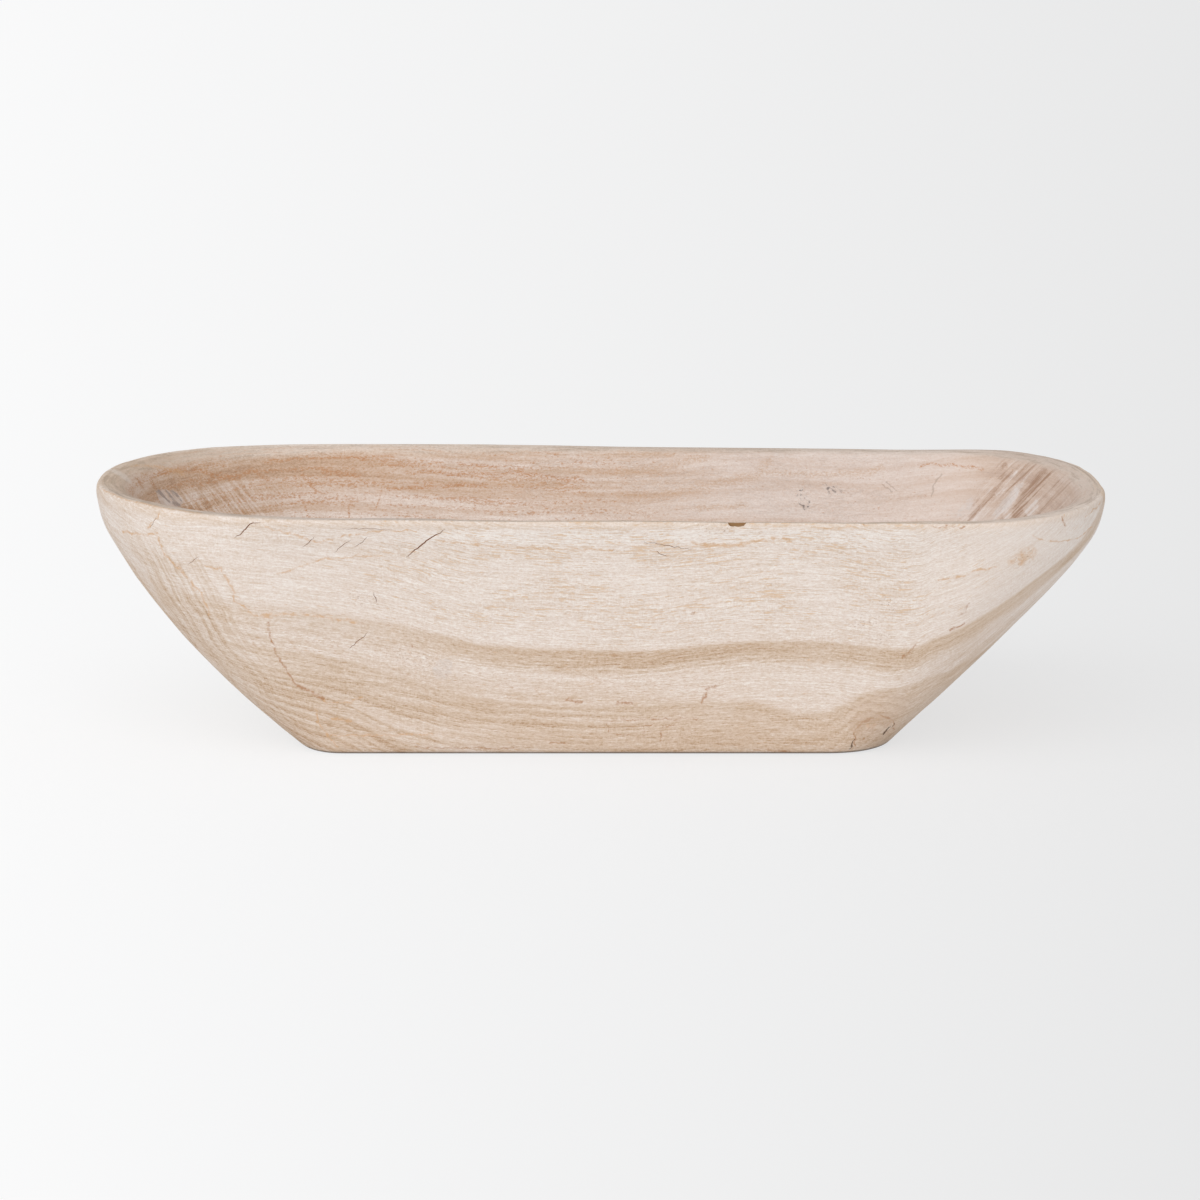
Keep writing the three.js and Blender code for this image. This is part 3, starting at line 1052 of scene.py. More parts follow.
def pores(recipe, grain, fine):
    """Orange hairlines that the wash has missed."""
    x, y, z, over = grain["x"], grain["y"], grain["z"], grain["over"]
    hair = recipe.noise((x, over, y), (0.07, 1.2, 0.05), 3.0, 0.6)
    dash = recipe.noise((x, over, y), (0.3, 1.6, 0.3), 2.0, 0.6)
    upper = recipe.between(z, 118.0, 131.0, 139.0, 146.0)
    band = recipe.times(upper, recipe.between(x, -130.0, -80.0, 110.0, 160.0))
    middle = recipe.times(recipe.between(x, -200.0, -90.0, 190.0, 250.0), recipe.step(over, 0.0, 25.0))
    thin = recipe.step(fine["patch"], 0.36, 0.62, 0.02, 0.09)
    amount = recipe.add(recipe.times(middle, thin), recipe.times(band, 0.028), -0.05)
    both = recipe.add(recipe.times(hair, 0.6), recipe.times(dash, 0.4), amount)
    return recipe.step(both, 0.56, 0.62)


def specks(recipe, grain):
    """Rows of specks at the edges of stripe and heart."""
    x, y, over, share = grain["x"], grain["y"], grain["over"], grain["share"]
    dots = recipe.noise((x, over, y), (0.26, 1.0, 0.3), 3.0, 0.7)
    heart = recipe.times(recipe.between(share, 0.25, 0.5, 0.7, 0.95), recipe.step(x, 110.0, 50.0))
    stripe = recipe.times(recipe.between(over, -3.0, 2.0, 5.0, 9.0), recipe.step(x, 190.0, 120.0))
    return recipe.times(recipe.step(dots, 0.57, 0.66), recipe.most(heart, stripe))


def outside_colour(recipe, grain, fine):
    """The washed outside with its pores and specks."""
    pore = pores(recipe, grain, fine)
    shade = recipe.add(
        outside_tone(recipe, grain, fine),
        recipe.times(fine["thread"], 1.8),
        recipe.times(fine["fleck"], recipe.step(grain["z"], 95.0, 75.0, 1.7, 2.4)),
        recipe.times(fine["speckle"], 2.2),
        recipe.times(fine["tick"], 1.1),
        recipe.swing(fine["patch"], 0.26),
    )
    colour = recipe.tones(shade, OUTSIDE_TONES)
    colour = recipe.mix(recipe.times(pore, 0.7), colour, PORE)
    return recipe.mix(recipe.times(specks(recipe, grain), 0.5), colour, SPECK), pore


print(len(OUTSIDE_TONES), "tones outside")

# %% [markdown]
# Some marks are single ones, and each of these is drawn as a stroke along a row of points.
# A stroke is the distance from a straight piece of line, made by a small node group that is used again
# and again. A row gives how far the stroke is full, how far it fades beyond that, and its points.


# %% A helper that draws strokes
def stroke_group():
    """A node group that is 1 near a straight piece of line and 0 away from it."""
    tree = bpy.data.node_groups.new("stroke", "ShaderNodeTree")
    for name in ("Place", "Start", "Along"):
        tree.interface.new_socket(name, in_out="INPUT", socket_type="NodeSocketVector")
    for name in ("Near", "Far"):
        tree.interface.new_socket(name, in_out="INPUT", socket_type="NodeSocketFloat")
    tree.interface.new_socket("Mask", in_out="OUTPUT", socket_type="NodeSocketFloat")
    recipe = Recipe(tree)
    given = recipe.node("NodeGroupInput", {}).outputs
    away = recipe.vector("SUBTRACT", given["Place"], given["Start"]).outputs[0]
    reached = recipe.vector("DOT_PRODUCT", away, given["Along"]).outputs["Value"]
    whole = recipe.vector("DOT_PRODUCT", given["Along"], given["Along"]).outputs["Value"]
    share = recipe.sum("MINIMUM", recipe.most(recipe.sum("DIVIDE", reached, whole), 0.0), 1.0)
    foot = recipe.scaled(given["Along"], share)
    gap = recipe.vector("DISTANCE", away, foot).outputs["Value"]
    recipe.node("NodeGroupOutput", {0: recipe.step(gap, given["Far"], given["Near"])})
    return tree


STROKE = stroke_group()


def strokes(recipe, place, rows):
    """The strongest of all strokes in some rows of points."""
    strongest = 0.0
    for near, soft, points in rows:
        for (xa, za), (xb, zb) in zip(points, points[1:]):
            inputs = {"Place": place, "Start": (xa, za, 0), "Along": (xb - xa, zb - za, 0)}
            inputs.update({"Near": near, "Far": near + soft})
            mask = recipe.node("ShaderNodeGroup", inputs, node_tree=STROKE).outputs[0]
            strongest = recipe.most(strongest, mask)
    return strongest


def draw(recipe, place, rows, shares, colour, tone):
    """Lays strokes of one tone over a colour, as strongly as the shares allow."""
    return recipe.mix(recipe.times(strokes(recipe, place, rows), *shares), colour, tone)


def wavering(recipe, grain, amount):
    """The place on the wall, x and z, that wavers a little as a hand-drawn line does."""
    x, z = grain["x"], grain["z"]
    sway = [recipe.noise((x, z, far), (0.16, 0.16, 1.0), 3.0, 0.6) for far in (2.0, 40.0)]
    across, up = [recipe.swing(noise, amount) for noise in sway]
    return recipe.place(recipe.add(x, across), recipe.add(z, up), 0.0)


print("stroke group of", len(STROKE.nodes), "nodes")

# %% [markdown]
# The front wall has a brown ragged line where bark once grew in, orange creases under both lips and along
# the left slope, a smudge near the right lip, and fields of small pits.
# Gaps from a noise break the strokes up, so that none of them looks ruled.

# %% Marks on the front wall
BROWN_STROKES = (
    (0.4, 1.1, ((-177, 46), (-171, 43), (-166, 40), (-162, 37))),
    (0.2, 0.9, ((-192, 86), (-192, 79), (-188, 66), (-183, 56), (-177, 46))),
    (0.2, 0.7, ((176, 64), (181, 70), (183, 72))),
    (0.3, 0.9, ((203, 81), (209, 84), (211, 86))),
    (0.2, 1.0, ((209, 92), (211, 95), (213, 98))),
    (0.2, 0.9, ((266, 148), (268, 142))),
    (0.4, 0.6, ((-109, 72), (-109, 72.3))),
    (0.4, 0.5, ((150, 148), (150.4, 148))),
    (0.5, 1.0, ((53, 93), (54, 93))),
    (0.3, 1.2, ((-19, 37), (-11, 35))),
    (0.3, 1.2, ((10, 34), (18, 34))),
    (0.1, 1.4, ((60, 35), (63, 44), (68, 46))),
    (0.0, 0.6, ((18, 13), (5, 15), (4, 21), (10, 23), (39, 24), (57, 24))),
    (0.0, 0.6, ((25, 11), (26, 19), (31, 20))),
    (0.0, 0.6, ((36, 9), (37, 19), (44, 20))),
    (0.1, 0.8, ((151, 5), (150, 14), (154, 22), (164, 26), (172, 23), (175, 13))),
    (0.0, 0.7, ((157, 7), (156, 14), (161, 19), (168, 20))),
    (0.1, 0.5, ((-110, 5), (-50, 4))),
    (0.2, 0.5, ((-30, 8), (-18, 8))),
    (0.2, 0.6, ((92, 3), (113, 2))),
    (0.0, 0.7, ((187, 147), (207, 146))),
)
ORANGE_STROKES = (
    (0.2, 0.9, ((-280, 132), (-270, 134), (-262, 135), (-256, 137))),
    (0.1, 0.8, ((-262, 139), (-255, 149))),
    (0.1, 1.0, ((-256, 135), (-254, 127), (-243, 115), (-232, 104), (-227, 89))),
    (0.1, 0.9, ((-229, 120), (-218, 119), (-212, 109), (-211, 99), (-200, 91), (-190, 90))),
    (0.2, 1.1, ((-200, 91), (-180, 92), (-160, 90), (-141, 87))),
    (0.2, 1.3, ((-244, 119), (-234, 104))),
    (0.1, 0.8, ((-191, 146), (-172, 141), (-160, 136), (-154, 139), (-127, 144), (-105, 144))),
    (0.1, 0.9, ((-184, 117), (-170, 123), (-154, 127), (-126, 129))),
    (0.1, 0.9, ((-162, 37), (-160, 34), (-148, 35), (-139, 39))),
    (0.1, 0.9, ((-167, 30), (-165, 19), (-155, 5))),
    (0.4, 1.2, ((-158, 24), (-146, 23))),
    (0.1, 0.8, ((-159, 13), (-123, 13), (-99, 14))),
    (0.1, 0.9, ((-93, 138), (-65, 135), (-37, 133), (-15, 133), (7, 132))),
    (0.2, 1.8, ((53, 136), (74, 135), (91, 138), (108, 139))),
    (0.1, 0.7, ((247, 139), (260, 134), (276, 132), (289, 135))),
    (0.1, 0.9, ((194, 114), (208, 116), (218, 120), (227, 121))),
    (0.1, 0.7, ((122, 146), (145, 146))),
    (0.0, 0.7, ((283, 144), (290, 147), (295, 148))),
)
DARK_STROKES = (
    (0.25, 0.5, ((168, 11), (169, 14), (171, 17))),
    (0.1, 0.4, ((148, 3), (150, 10))),
    (0.1, 0.3, ((173, 16), (174, 19))),
)
SMUDGES = (
    (1.0, 6.0, ((239, 124), (246, 128))),
    (0.5, 3.0, ((159, 20), (161, 19))),
)
PITTED = (
    (0.0, 7.0, ((240, 124), (246, 127))),
    (0.0, 5.0, ((-245, 117), (-240, 115))),
    (0.0, 9.0, ((147, 86), (157, 88))),
    (0.0, 8.0, ((165, 100), (170, 96))),
    (0.0, 7.0, ((160, 77), (166, 77))),
    (0.0, 7.0, ((58, 146), (74, 145))),
    (0.0, 8.0, ((-140, 103), (-128, 100))),
    (0.0, 9.0, ((-120, 68), (-100, 60))),
)
STROKE_BROWN, STROKE_ORANGE = paint(178, 130, 92), paint(211, 170, 128)
STROKE_DARK, PIT_BROWN = paint(96, 74, 58), paint(166, 130, 102)


def front_marks(recipe, grain, colour):
    """The strokes, laid over the colour of the front wall."""
    x, y, z = grain["x"], grain["y"], grain["z"]
    place = wavering(recipe, grain, 6.0)
    front = recipe.step(y, 0.0, -40.0)
    gaps = recipe.noise((x, z, 9.0), (0.22, 0.22, 1.0), 4.0, 0.7)
    faint = recipe.times(front, recipe.step(gaps, 0.38, 0.6, 0.1, 1.0))
    pits = recipe.noise((x, z, 4.0), (0.6, 0.9, 1.0), 3.0, 0.7)
    pitted = recipe.times(front, recipe.step(pits, 0.54, 0.68), 0.7)
    colour = draw(recipe, place, SMUDGES, (faint, 0.75), colour, STROKE_ORANGE)
    colour = draw(recipe, place, PITTED, (pitted,), colour, PIT_BROWN)
    colour = draw(recipe, place, ORANGE_STROKES, (faint, 0.75), colour, STROKE_ORANGE)
    colour = draw(recipe, place, BROWN_STROKES, (faint, 0.8), colour, STROKE_BROWN)
    return draw(recipe, place, DARK_STROKES, (front, 0.9), colour, STROKE_DARK)


front_rows = (BROWN_STROKES, ORANGE_STROKES, DARK_STROKES, SMUDGES, PITTED)
print(sum(len(rows) for rows in front_rows), "marks on the front wall")

# %% [markdown]
# Inside, the wash is thinner: the wood is more tan at the left and nearly white along the right half
# of the back wall. Rust-coloured specks lie in rows where the gouge tore the fibres,
# and at the left a scraper has drawn fine slanting lines down the wall.

# %% The hollow of the wood
HOLLOW_CHALK = paint(235, 224, 216)
HOLLOW_PALE = paint(222, 206, 195)
HOLLOW_BARE = paint(202, 173, 149)
HOLLOW_DARK = paint(164, 128, 101)
HOLLOW_DENSE = paint(217, 204, 198)
RUST = paint(188, 136, 94)
HOLLOW_TONES = ((-0.5, HOLLOW_CHALK), (0.0, HOLLOW_PALE), (1.0, HOLLOW_BARE), (1.9, HOLLOW_DARK))
HOLLOW_BARENESS = (
    (-320, 0.3), (-240, 0.4), (-150, 0.24), (-80, 0.04), (-20, -0.1), (20, 0), (100, -0.25), (200, -0.2),
    (240, 0.15), (262, 0.6), (285, 0.4), (320, 0.2),
)
STRIPE_MIDDLE = 205.0
LEVEL_LIFT = 0.3
SCRAPER_LEAN = 0.8


def hollow_shade(recipe, grain, fine, level):
    """How bare the hollow is, with painted light low on the back wall at the left."""
    x, y, z = grain["x"], grain["y"], grain["z"]
    rows = recipe.noise((x, level, y), (0.006, 0.16, 0.01), 4.0, 0.6)
    thread = recipe.noise((x, level, y), (0.09, 1.0, 0.08), 3.0, 0.7)
    slant = recipe.add(x, recipe.times(z, SCRAPER_LEAN))
    hatch = recipe.noise((slant, z, 1.0), (0.6, 0.05, 1.0), 2.0, 0.6)
    crisp = recipe.step(hatch, 0.38, 0.6, -0.45, 0.45)
    at_left = recipe.between(x, -288.0, -268.0, -245.0, -175.0)
    scraped = recipe.times(at_left, recipe.step(z, 140.0, 126.0, 0.1, 1.0))
    return recipe.add(
        recipe.step(rows, 0.36, 0.68, 0.1, 0.9),
        recipe.swing(thread, 1.4),
        recipe.times(fine["speckle"], recipe.step(x, 20.0, 120.0, 2.8, 3.4)),
        recipe.times(crisp, scraped),
        recipe.curve(x, HOLLOW_BARENESS),
        # Painted light: the lower back wall, from the left end towards the middle, is made paler against the
        # front rim's shadow.
        recipe.times(recipe.step(z, 130.0, 114.0), recipe.between(x, -230.0, -190.0, -70.0, 0.0), -0.55),
    )


def rust_specks(recipe, grain, level):
    """Specks in rows, most of them at the left."""
    x, y, z = grain["x"], grain["y"], grain["z"]
    torn = recipe.noise((x, level, 11.0), (0.013, 0.2, 1.0), 4.0, 0.6)
    dots = recipe.noise((x, z, y), (0.5, 0.9, 0.5), 3.0, 0.7)
    row = recipe.times(recipe.step(torn, 0.44, 0.62), recipe.step(x, 80.0, -60.0, 0.15, 1.0))
    rarer = recipe.step(x, -20.0, 90.0, 0.0, -0.04)
    return recipe.step(recipe.add(dots, recipe.times(row, 0.13), rarer), 0.59, 0.68)


def hollow_colour(recipe, grain, fine):
    """The hollow, tan and specked."""
    level = recipe.less(grain["z"], recipe.times(recipe.less(grain["stripe"], STRIPE_MIDDLE), LEVEL_LIFT))
    colour = recipe.tones(hollow_shade(recipe, grain, fine, level), HOLLOW_TONES)
    colour = recipe.mix(recipe.step(grain["x"], 0.0, 120.0, 0.0, 0.4), colour, HOLLOW_DENSE)
    return recipe.mix(recipe.times(rust_specks(recipe, grain, level), 0.6), colour, RUST)


print(len(HOLLOW_TONES), "tones in the hollow")

# %% [markdown]
# Single marks lie in the hollow as well: rust-coloured lines and arcs on the back wall, soft tan curves where
# a growth ring was cut at a slant, and a few grey scratches.
# The strokes are broken into specks here, because the gouge jumped from fibre to fibre.

# %% Marks in the hollow
RUST_STROKES = (
    (0.3, 0.9, ((-216, 143), (-190, 144), (-163, 144), (-133, 145))),
    (0.6, 1.6, ((-178, 136), (-155, 133))),
    (0.4, 1.4, ((-191, 135), (-182, 124))),
    (0.2, 1.0, ((-192, 122), (-186, 110))),
    (0.2, 0.9, ((-161, 119), (-161, 109))),
    (0.2, 0.9, ((-140, 125), (-143, 114))),
    (0.2, 1.4, ((-136, 125), (-115, 126), (-73, 128))),
    (0.2, 1.5, ((-124, 135), (-76, 134), (-50, 135))),
    (0.6, 1.8, ((-52, 134), (-38, 133), (-24, 131), (-12, 131))),
    (0.2, 1.0, ((-91, 140), (-66, 139))),
    (0.2, 0.8, ((-62, 147), (-27, 147))),
    (0.4, 1.6, ((-274, 146), (-256, 143), (-234, 135), (-222, 139), (-212, 133))),
    (0.2, 0.9, ((206, 138), (211, 140), (234, 139), (245, 138))),
    (0.0, 0.7, ((-80, 119), (-81, 113))),
)
TAN_STROKES = (
    (0.5, 4.0, ((-72, 130), (-27, 128))),
    (0.4, 2.2, ((13, 147), (47, 146))),
    (0.5, 3.6, ((13, 135), (39, 138), (58, 142), (68, 144))),
    (0.5, 4.2, ((13, 121), (36, 121), (61, 125), (84, 130), (100, 133), (109, 142))),
    (0.5, 2.6, ((100, 133), (108, 135), (128, 134), (150, 134), (173, 135), (182, 138))),
    (0.4, 2.4, ((63, 113), (77, 114), (93, 115))),
)
GREY_STROKES = (
    (0.1, 0.7, ((213, 121), (214, 126), (219, 134))),
    (0.1, 0.5, ((181, 128), (188, 123))),
    (0.1, 0.5, ((184, 129), (191, 124))),
)
HOLLOW_TAN, SCRATCH_GREY = paint(200, 166, 136), paint(168, 150, 136)


def hollow_marks(recipe, grain, colour):
    """The strokes, laid over the colour of the back wall."""
    x, y, z = grain["x"], grain["y"], grain["z"]
    place = wavering(recipe, grain, 5.0)
    behind = recipe.step(y, 20.0, 50.0)
    dots = recipe.noise((x, z, 17.0), (0.6, 1.1, 1.0), 3.0, 0.7)
    broken = recipe.times(behind, recipe.step(dots, 0.43, 0.6, 0.05, 1.0))
    colour = draw(recipe, place, TAN_STROKES, (broken, 0.6), colour, HOLLOW_TAN)
    colour = draw(recipe, place, RUST_STROKES, (broken, 0.85), colour, RUST)
    return draw(recipe, place, GREY_STROKES, (behind, 0.5), colour, SCRATCH_GREY)


print(len(RUST_STROKES) + len(TAN_STROKES) + len(GREY_STROKES), "marks in the hollow")

# %% [markdown]
# At the right end the gouge cut across the fibres, so ragged streaks run down the slope, brown and white.
# They fan out from a point in the hollow, and lean a little as they go down:
# an angle around that point, turned by the height, gives the number that the noise is read along.
# The streaks that are drawn one by one only lean that noise to brown or to white.

# %% Streaks at the right end
STREAK_CENTRE = 150.0
STREAK_LEAN = 0.004
END_BROWN, END_CHALK = paint(158, 122, 97), paint(232, 225, 222)
STREAK_EDGE, STREAK_RISE, STREAK_FOOT = (226.0, 240.0, 258.0, 274.0), 0.7, 112.0
BROAD_STREAKS = (
    (0.8, 3.0, ((260, 119), (268, 130), (279, 144))),
    (0.4, 2.0, ((236, 112), (241, 122))),
    (0.6, 2.4, ((255, 135), (259, 142))),
    (0.6, 2.4, ((282, 140), (284, 143))),
)
CHALK_STREAKS = (
    (0.6, 1.8, ((255, 117), (263, 131))),
    (0.3, 1.4, ((252, 126), (264, 140))),
    (0.4, 1.6, ((266, 122), (271, 129))),
)


def end_streaks(recipe, grain, fine, colour):
    """Ragged streaks down the slope of the right end."""
    x, y, z = grain["x"], grain["y"], grain["z"]
    spoke = recipe.sum("ARCTAN2", y, recipe.add(x, -STREAK_CENTRE))
    turn = recipe.add(spoke, recipe.times(z, STREAK_LEAN), recipe.times(fine["speckle"], 0.03))
    run = recipe.noise((turn, z, 5.0), (28.0, 0.02, 1.0), 5.0, 0.75)
    place = wavering(recipe, grain, 4.0)
    behind = recipe.step(y, 20.0, 40.0)
    brown = recipe.times(strokes(recipe, place, BROAD_STREAKS), behind, 0.08)
    chalk = recipe.times(strokes(recipe, place, CHALK_STREAKS), behind, -0.1)
    run = recipe.add(run, brown, chalk)
    rise = recipe.times(recipe.add(z, -STREAK_FOOT), -STREAK_RISE)
    area = recipe.between(recipe.add(x, rise, recipe.times(fine["speckle"], 15.0)), *STREAK_EDGE)
    area = recipe.times(area, recipe.step(z, 151.0, 145.0))
    colour = recipe.mix(recipe.times(area, recipe.step(run, 0.5, 0.66), 0.75), colour, END_BROWN)
    return recipe.mix(recipe.times(area, recipe.step(run, 0.46, 0.34), 0.7), colour, END_CHALK)


print(len(BROAD_STREAKS) + len(CHALK_STREAKS), "streaks drawn one by one")

# %% [markdown]
# The rim is where the bowl is held, so its wash is gone and the bare wood has greyed.
# Its fibres run along the edge: noise that is read across the rim gives lines that follow it all round.
# A thin dark line follows the outer edge at the right, and a thin line of painted shade follows the inner
# edge of the front.
# The left end has a white scar, brown spots and an orange line, drawn as strokes that are seen from above.

# %% The rim
RIM_LINE, RIM_SCAR = paint(162, 140, 120), paint(234, 230, 228)
RIM_BACK = (
    (-300, paint(200, 178, 156)), (-200, paint(236, 223, 212)), (-60, paint(221, 206, 193)),
    (60, paint(208, 192, 179)), (300, paint(217, 203, 192)),
)
RIM_FRONT = (
    (-270, paint(200, 182, 166)), (-130, paint(204, 191, 183)), (-30, paint(196, 178, 160)),
    (160, paint(196, 178, 160)), (235, paint(216, 201, 190)),
)
RIM_ORANGE = (
    (0.2, 1.4, ((-297, -49), (-276, -88), (-252, -112), (-229, -126))),
    (0.2, 2.0, ((-290, 40), (-279, 58), (-262, 74))),
)
RIM_BROWN = (
    (0.5, 3.0, ((-284, 21), (-281, 18))),
    (0.3, 2.4, ((-276, 38), (-272, 31))),
    (0.2, 1.6, ((-279, 10), (-274, 4), (-270, -8))),
)
RIM_SCARS = ((1.0, 5.0, ((-299, 21), (-288, 5))),)


def rim_marks(recipe, grain, fine, colour):
    """The marks on the left end of the rim."""
    sway = recipe.times(fine["speckle"], 12.0)
    place = recipe.place(recipe.add(grain["x"], sway), recipe.less(grain["y"], sway), 0.0)
    broken = recipe.step(fine["speckle"], -0.08, 0.08, 0.3, 1.0)
    high = recipe.times(recipe.step(grain["z"], 136.0, 142.0), broken)
    colour = draw(recipe, place, RIM_SCARS, (high, 0.4), colour, RIM_SCAR)
    colour = draw(recipe, place, RIM_ORANGE, (high, 0.7), colour, STROKE_ORANGE)
    return draw(recipe, place, RIM_BROWN, (high, 0.7), colour, STROKE_BROWN)


def rim_colour(recipe, grain, fine, colour):
    """The greyed wood of the rim, laid over the colour on both sides of it, with a thin line of painted shade
    along the front's inner edge.
    """
    x, y = grain["x"], grain["y"]
    plain = recipe.layer("across")
    across = recipe.add(plain, recipe.times(fine["speckle"], 0.16))
    lines = recipe.noise((across, x, y), (7.0, 0.04, 0.04), 5.0, 0.75)
    on_rim = recipe.between(across, 0.02, 0.12, 0.8, 1.0)
    worn = recipe.mix(recipe.step(y, -70.0, -10.0), recipe.tones(x, RIM_FRONT), recipe.tones(x, RIM_BACK))
    streaked = recipe.add(recipe.step(lines, 0.44, 0.66, -0.05, 0.6), recipe.times(fine["speckle"], 1.5))
    worn = recipe.mix(recipe.most(streaked, 0.0), worn, RIM_LINE)
    colour = recipe.mix(recipe.times(on_rim, recipe.step(lines, 0.36, 0.56, 0.2, 0.85)), colour, worn)
    right = recipe.times(recipe.step(x, -20.0, 120.0), recipe.step(y, -40.0, 20.0))
    front = recipe.times(recipe.between(x, -60.0, 0.0, 190.0, 220.0), recipe.step(y, -60.0, -100.0))
    outer = recipe.times(recipe.between(plain, 0.1, 0.16, 0.2, 0.28), right, 0.5)
    # The inner line is painted shade along the inner edge of the front rim.
    inner = recipe.times(recipe.step(plain, 0.4, 0.7), recipe.step(plain, 1.0, 0.95), front, 0.6)
    return recipe.mix(recipe.most(outer, inner), colour, RIM_LINE)


rim_rows = (RIM_ORANGE, RIM_BROWN, RIM_SCARS)
print(sum(len(rows) for rows in rim_rows), "marks on the rim")

# %% [markdown]
# The parts come together in a node group, so that the bowl, the knot and the fillings share a single grain.
# A renderer can hold only so many numbers at once, so there are two: one with the marks of the outside,
# one with the marks of the rim and the hollow. All else is the same in both, so that no seam shows.
# The outputs are the colour and a relief for the bump. The layer that was stored on the skin says
# where the hollow begins, and a line of painted shade marks the foot, where the bowl meets the floor.

# %% The wood groups
FOOT_PAINTED_SHADE = paint(112, 104, 96)


def wood_group(side):
    """The node group of the washed old wood, with the marks of one side."""
    tree = bpy.data.node_groups.new(f"old_wood_{side}", "ShaderNodeTree")
    tree.interface.new_socket("Colour", in_out="OUTPUT", socket_type="NodeSocketColor")
    tree.interface.new_socket("Relief", in_out="OUTPUT", socket_type="NodeSocketFloat")
    recipe = Recipe(tree)
    grain = grain_field(recipe)
    fine = fine_texture(recipe, grain)
    out_colour, pore = outside_colour(recipe, grain, fine)
    in_colour = hollow_colour(recipe, grain, fine)
    if side == "outside":
        out_colour = front_marks(recipe, grain, out_colour)
    else:
        in_colour = hollow_marks(recipe, grain, in_colour)
        in_colour = end_streaks(recipe, grain, fine, in_colour)
    ragged = recipe.add(recipe.layer("hollow"), recipe.times(fine["speckle"], 0.3))
    hollow = recipe.step(ragged, 0.3, 0.85)
    colour = rim_colour(recipe, grain, fine, recipe.mix(hollow, out_colour, in_colour))
    if side == "hollow":
        colour = rim_marks(recipe, grain, fine, colour)
    # Painted shade: the lowest two millimetres of the wall are darkened, as a contact shadow.
    colour = recipe.mix(recipe.times(recipe.step(grain["z"], 2.3, 0.9), 0.85), colour, FOOT_PAINTED_SHADE)
    relief = recipe.add(
        recipe.times(fine["thread"], 0.6),
        recipe.times(fine["speckle"], 0.6),
        recipe.times(pore, -0.4),
    )
    recipe.node("NodeGroupOutput", {0: colour, 1: relief})
    return tree


WOODS = {side: wood_group(side) for side in ("outside", "hollow")}
for side, tree in WOODS.items():
    print(side, "group of", len(tree.nodes), "nodes")

# %% [markdown]
# Washed wood is matt: high roughness and little gloss, both the same all over, are set on the shader itself.
# The relief goes through a Bump node that is a fraction of a millimetre deep.
# The fillings and the knot are the same wood with something laid over it: they pass a function for that.

# %% The wood finish
BUMP_STRENGTH, BUMP_DEPTH = 0.6, 0.45 * MM
WOOD_ROUGHNESS, WOOD_GLOSS = 0.85, 0.25


def wood_finish(name, side, roughness, cover=None):
    """A material that shows one wood group, with a cover over it where one is given."""
    finish, shader = blank_finish(name, roughness, WOOD_GLOSS)
    recipe = Recipe(finish.node_tree)
    colour, relief = recipe.node("ShaderNodeGroup", {}, node_tree=WOODS[side]).outputs
    if cover:
        colour, relief = cover(recipe, colour, relief)
    bump_inputs = {"Strength": BUMP_STRENGTH, "Distance": BUMP_DEPTH, "Height": relief}
    bump = recipe.node("ShaderNodeBump", bump_inputs)
    finish.node_tree.links.new(colour, shader.inputs["Base Color"])
    finish.node_tree.links.new(bump.outputs[0], shader.inputs["Normal"])
    return finish


def paint_hollow(piece):
    """Gives the faces of the rim and the hollow the second finish."""
    across = piece.data.attributes["across"].data
    for face in piece.data.polygons:
        if sum(across[point].value for point in face.vertices) > 0:
            face.material_index = 1


for side in WOODS:
    bowl.data.materials.append(wood_finish(f"washed_{side}", side, WOOD_ROUGHNESS))
paint_hollow(bowl)
print("bowl finishes", [finish.name for finish in bowl.data.materials])

# %% [markdown]
# The fillings were smeared into flaws in the wood: a pale film with a ragged edge, and grey in the slanting
# fissures. On the back wall only small dark specks of it are left.
# The knot is the stump of a dead branch: its own rings stand around its eye, brown with orange patches.

# %% Fillings and knot
FILLER_PALE = paint(218, 209, 205)
FILLER_GREY = paint(152, 136, 128)
FILLER_DARK = paint(128, 118, 114)
KNOT_BROWN = paint(194, 165, 140)
KNOT_TAN = paint(221, 202, 185)
KNOT_ORANGE = paint(201, 160, 124)
KNOT_EYE = (162.0, 14.0)
KNOT_RINGS = 0.3
KNOT_FLAT = 1.25
FILLER_ROUGHNESS, KNOT_ROUGHNESS = 0.75, 0.8


def filler_cover(recipe, colour, relief):
    """Filler over the wood: a thin pale film, grey in the fissures, and dark specks at the back."""
    x, y, z = millimetres(recipe)
    ragged = recipe.noise((x, y, z), (0.3, 0.3, 0.3), 4.0, 0.65)
    at_back = recipe.times(recipe.step(y, 90.0, 110.0), recipe.step(x, 200.0, 170.0))
    cover = recipe.add(recipe.layer("patch"), recipe.times(at_back, -0.3))
    share = recipe.step(recipe.add(cover, recipe.swing(ragged, 2.4)), 0.45, 0.95)
    slant = recipe.add(x, recipe.times(z, SCRAPER_LEAN))
    fissure = recipe.noise((slant, z, y), (0.6, 0.1, 0.1), 3.0, 0.6)
    inside = recipe.times(recipe.step(y, -60.0, 0.0, 0.1, 0.8), recipe.step(x, 120.0, 200.0, 1.0, 0.1))
    dots = recipe.noise((x, y, z), (0.45, 0.45, 0.45), 3.0, 0.6)
    film = recipe.times(recipe.step(at_back, 0.0, 1.0, 0.5, 0.15), recipe.step(y, -60.0, 0.0, 0.45, 1.0))
    colour = recipe.mix(recipe.times(share, film), colour, FILLER_PALE)
    colour = recipe.mix(recipe.times(share, recipe.step(fissure, 0.5, 0.6), inside), colour, FILLER_GREY)
    colour = recipe.mix(recipe.times(share, at_back, recipe.step(dots, 0.53, 0.62)), colour, FILLER_DARK)
    return colour, relief


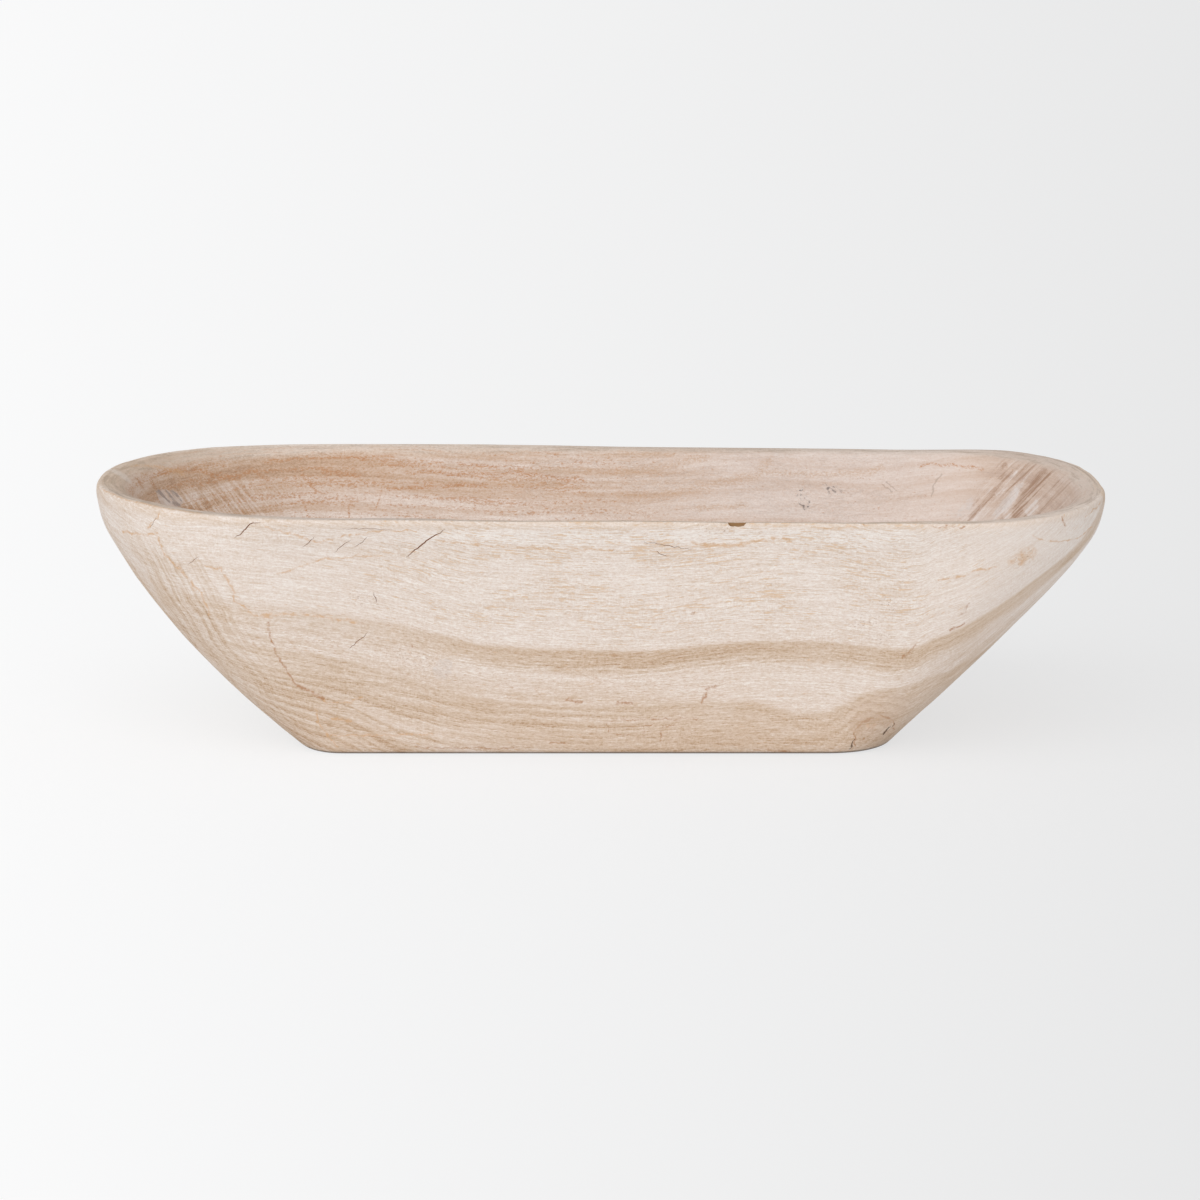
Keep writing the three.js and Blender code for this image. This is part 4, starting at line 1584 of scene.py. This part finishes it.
def knot_cover(recipe, colour, relief):
    """Rings of a branch over the wood."""
    x, y, z = millimetres(recipe)
    ragged = recipe.noise((x, y, z), (0.12, 0.12, 0.12), 4.0, 0.6)
    across = recipe.less(x, KNOT_EYE[0])
    up = recipe.times(recipe.less(z, KNOT_EYE[1]), KNOT_FLAT)
    far = recipe.sum("SQRT", recipe.add(recipe.times(across, across), recipe.times(up, up)))
    far = recipe.add(far, recipe.swing(ragged, 14.0))
    rings = recipe.noise((far, 3.0, ragged), (KNOT_RINGS, 1.0, 0.4), 4.0, 0.6)
    share = recipe.step(recipe.add(recipe.layer("patch"), recipe.swing(ragged, 0.8)), 0.25, 0.9)
    wood = recipe.mix(recipe.step(rings, 0.4, 0.62), KNOT_BROWN, KNOT_TAN)
    wood = recipe.mix(recipe.times(recipe.step(ragged, 0.55, 0.7), 0.5), wood, KNOT_ORANGE)
    return recipe.mix(recipe.times(share, 0.45), colour, wood), recipe.add(relief, recipe.times(rings, 0.5))


filler_finishes = {}
for side in WOODS:
    filler_finishes[side] = wood_finish(f"filler_{side}", side, FILLER_ROUGHNESS, filler_cover)
for node, filling in fillings.items():
    filling.data.materials.append(filler_finishes["outside" if "front" in node else "hollow"])
knot.data.materials.append(wood_finish("knot_wood", "outside", KNOT_ROUGHNESS, knot_cover))
print(len(fillings), "fillings and a knot finished")

# %% [markdown]
# The cut comes last, when the bowl has its own finishes.
# The cut faces then bring the dark ones with them.
# Smooth shading stops at sharp angles, so that the edges of the cracks stay crisp.

# %% Cut the cracks
apply(bowl, "BOOLEAN", operation="DIFFERENCE", object=tool, solver="MANIFOLD", material_mode="TRANSFER")
bpy.data.objects.remove(tool)
only(bowl)
bpy.ops.object.shade_smooth_by_angle(angle=CREASE)
bowl.data.calc_loop_triangles()
print("bowl of", len(bowl.data.loop_triangles), "triangles,", len(bowl.data.materials), "finishes")

# %% [markdown]
# The measuring pattern has done its work and is taken away.
# Every piece rides on the one body, and the solid that it stands for is hidden.

# %% Hand over
bpy.data.objects.remove(pattern)
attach(bowl, "root")
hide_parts("bowl_block")
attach(knot, "root")
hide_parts("corner_knot")
for node, filling in fillings.items():
    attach(filling, "root")
    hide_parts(node)
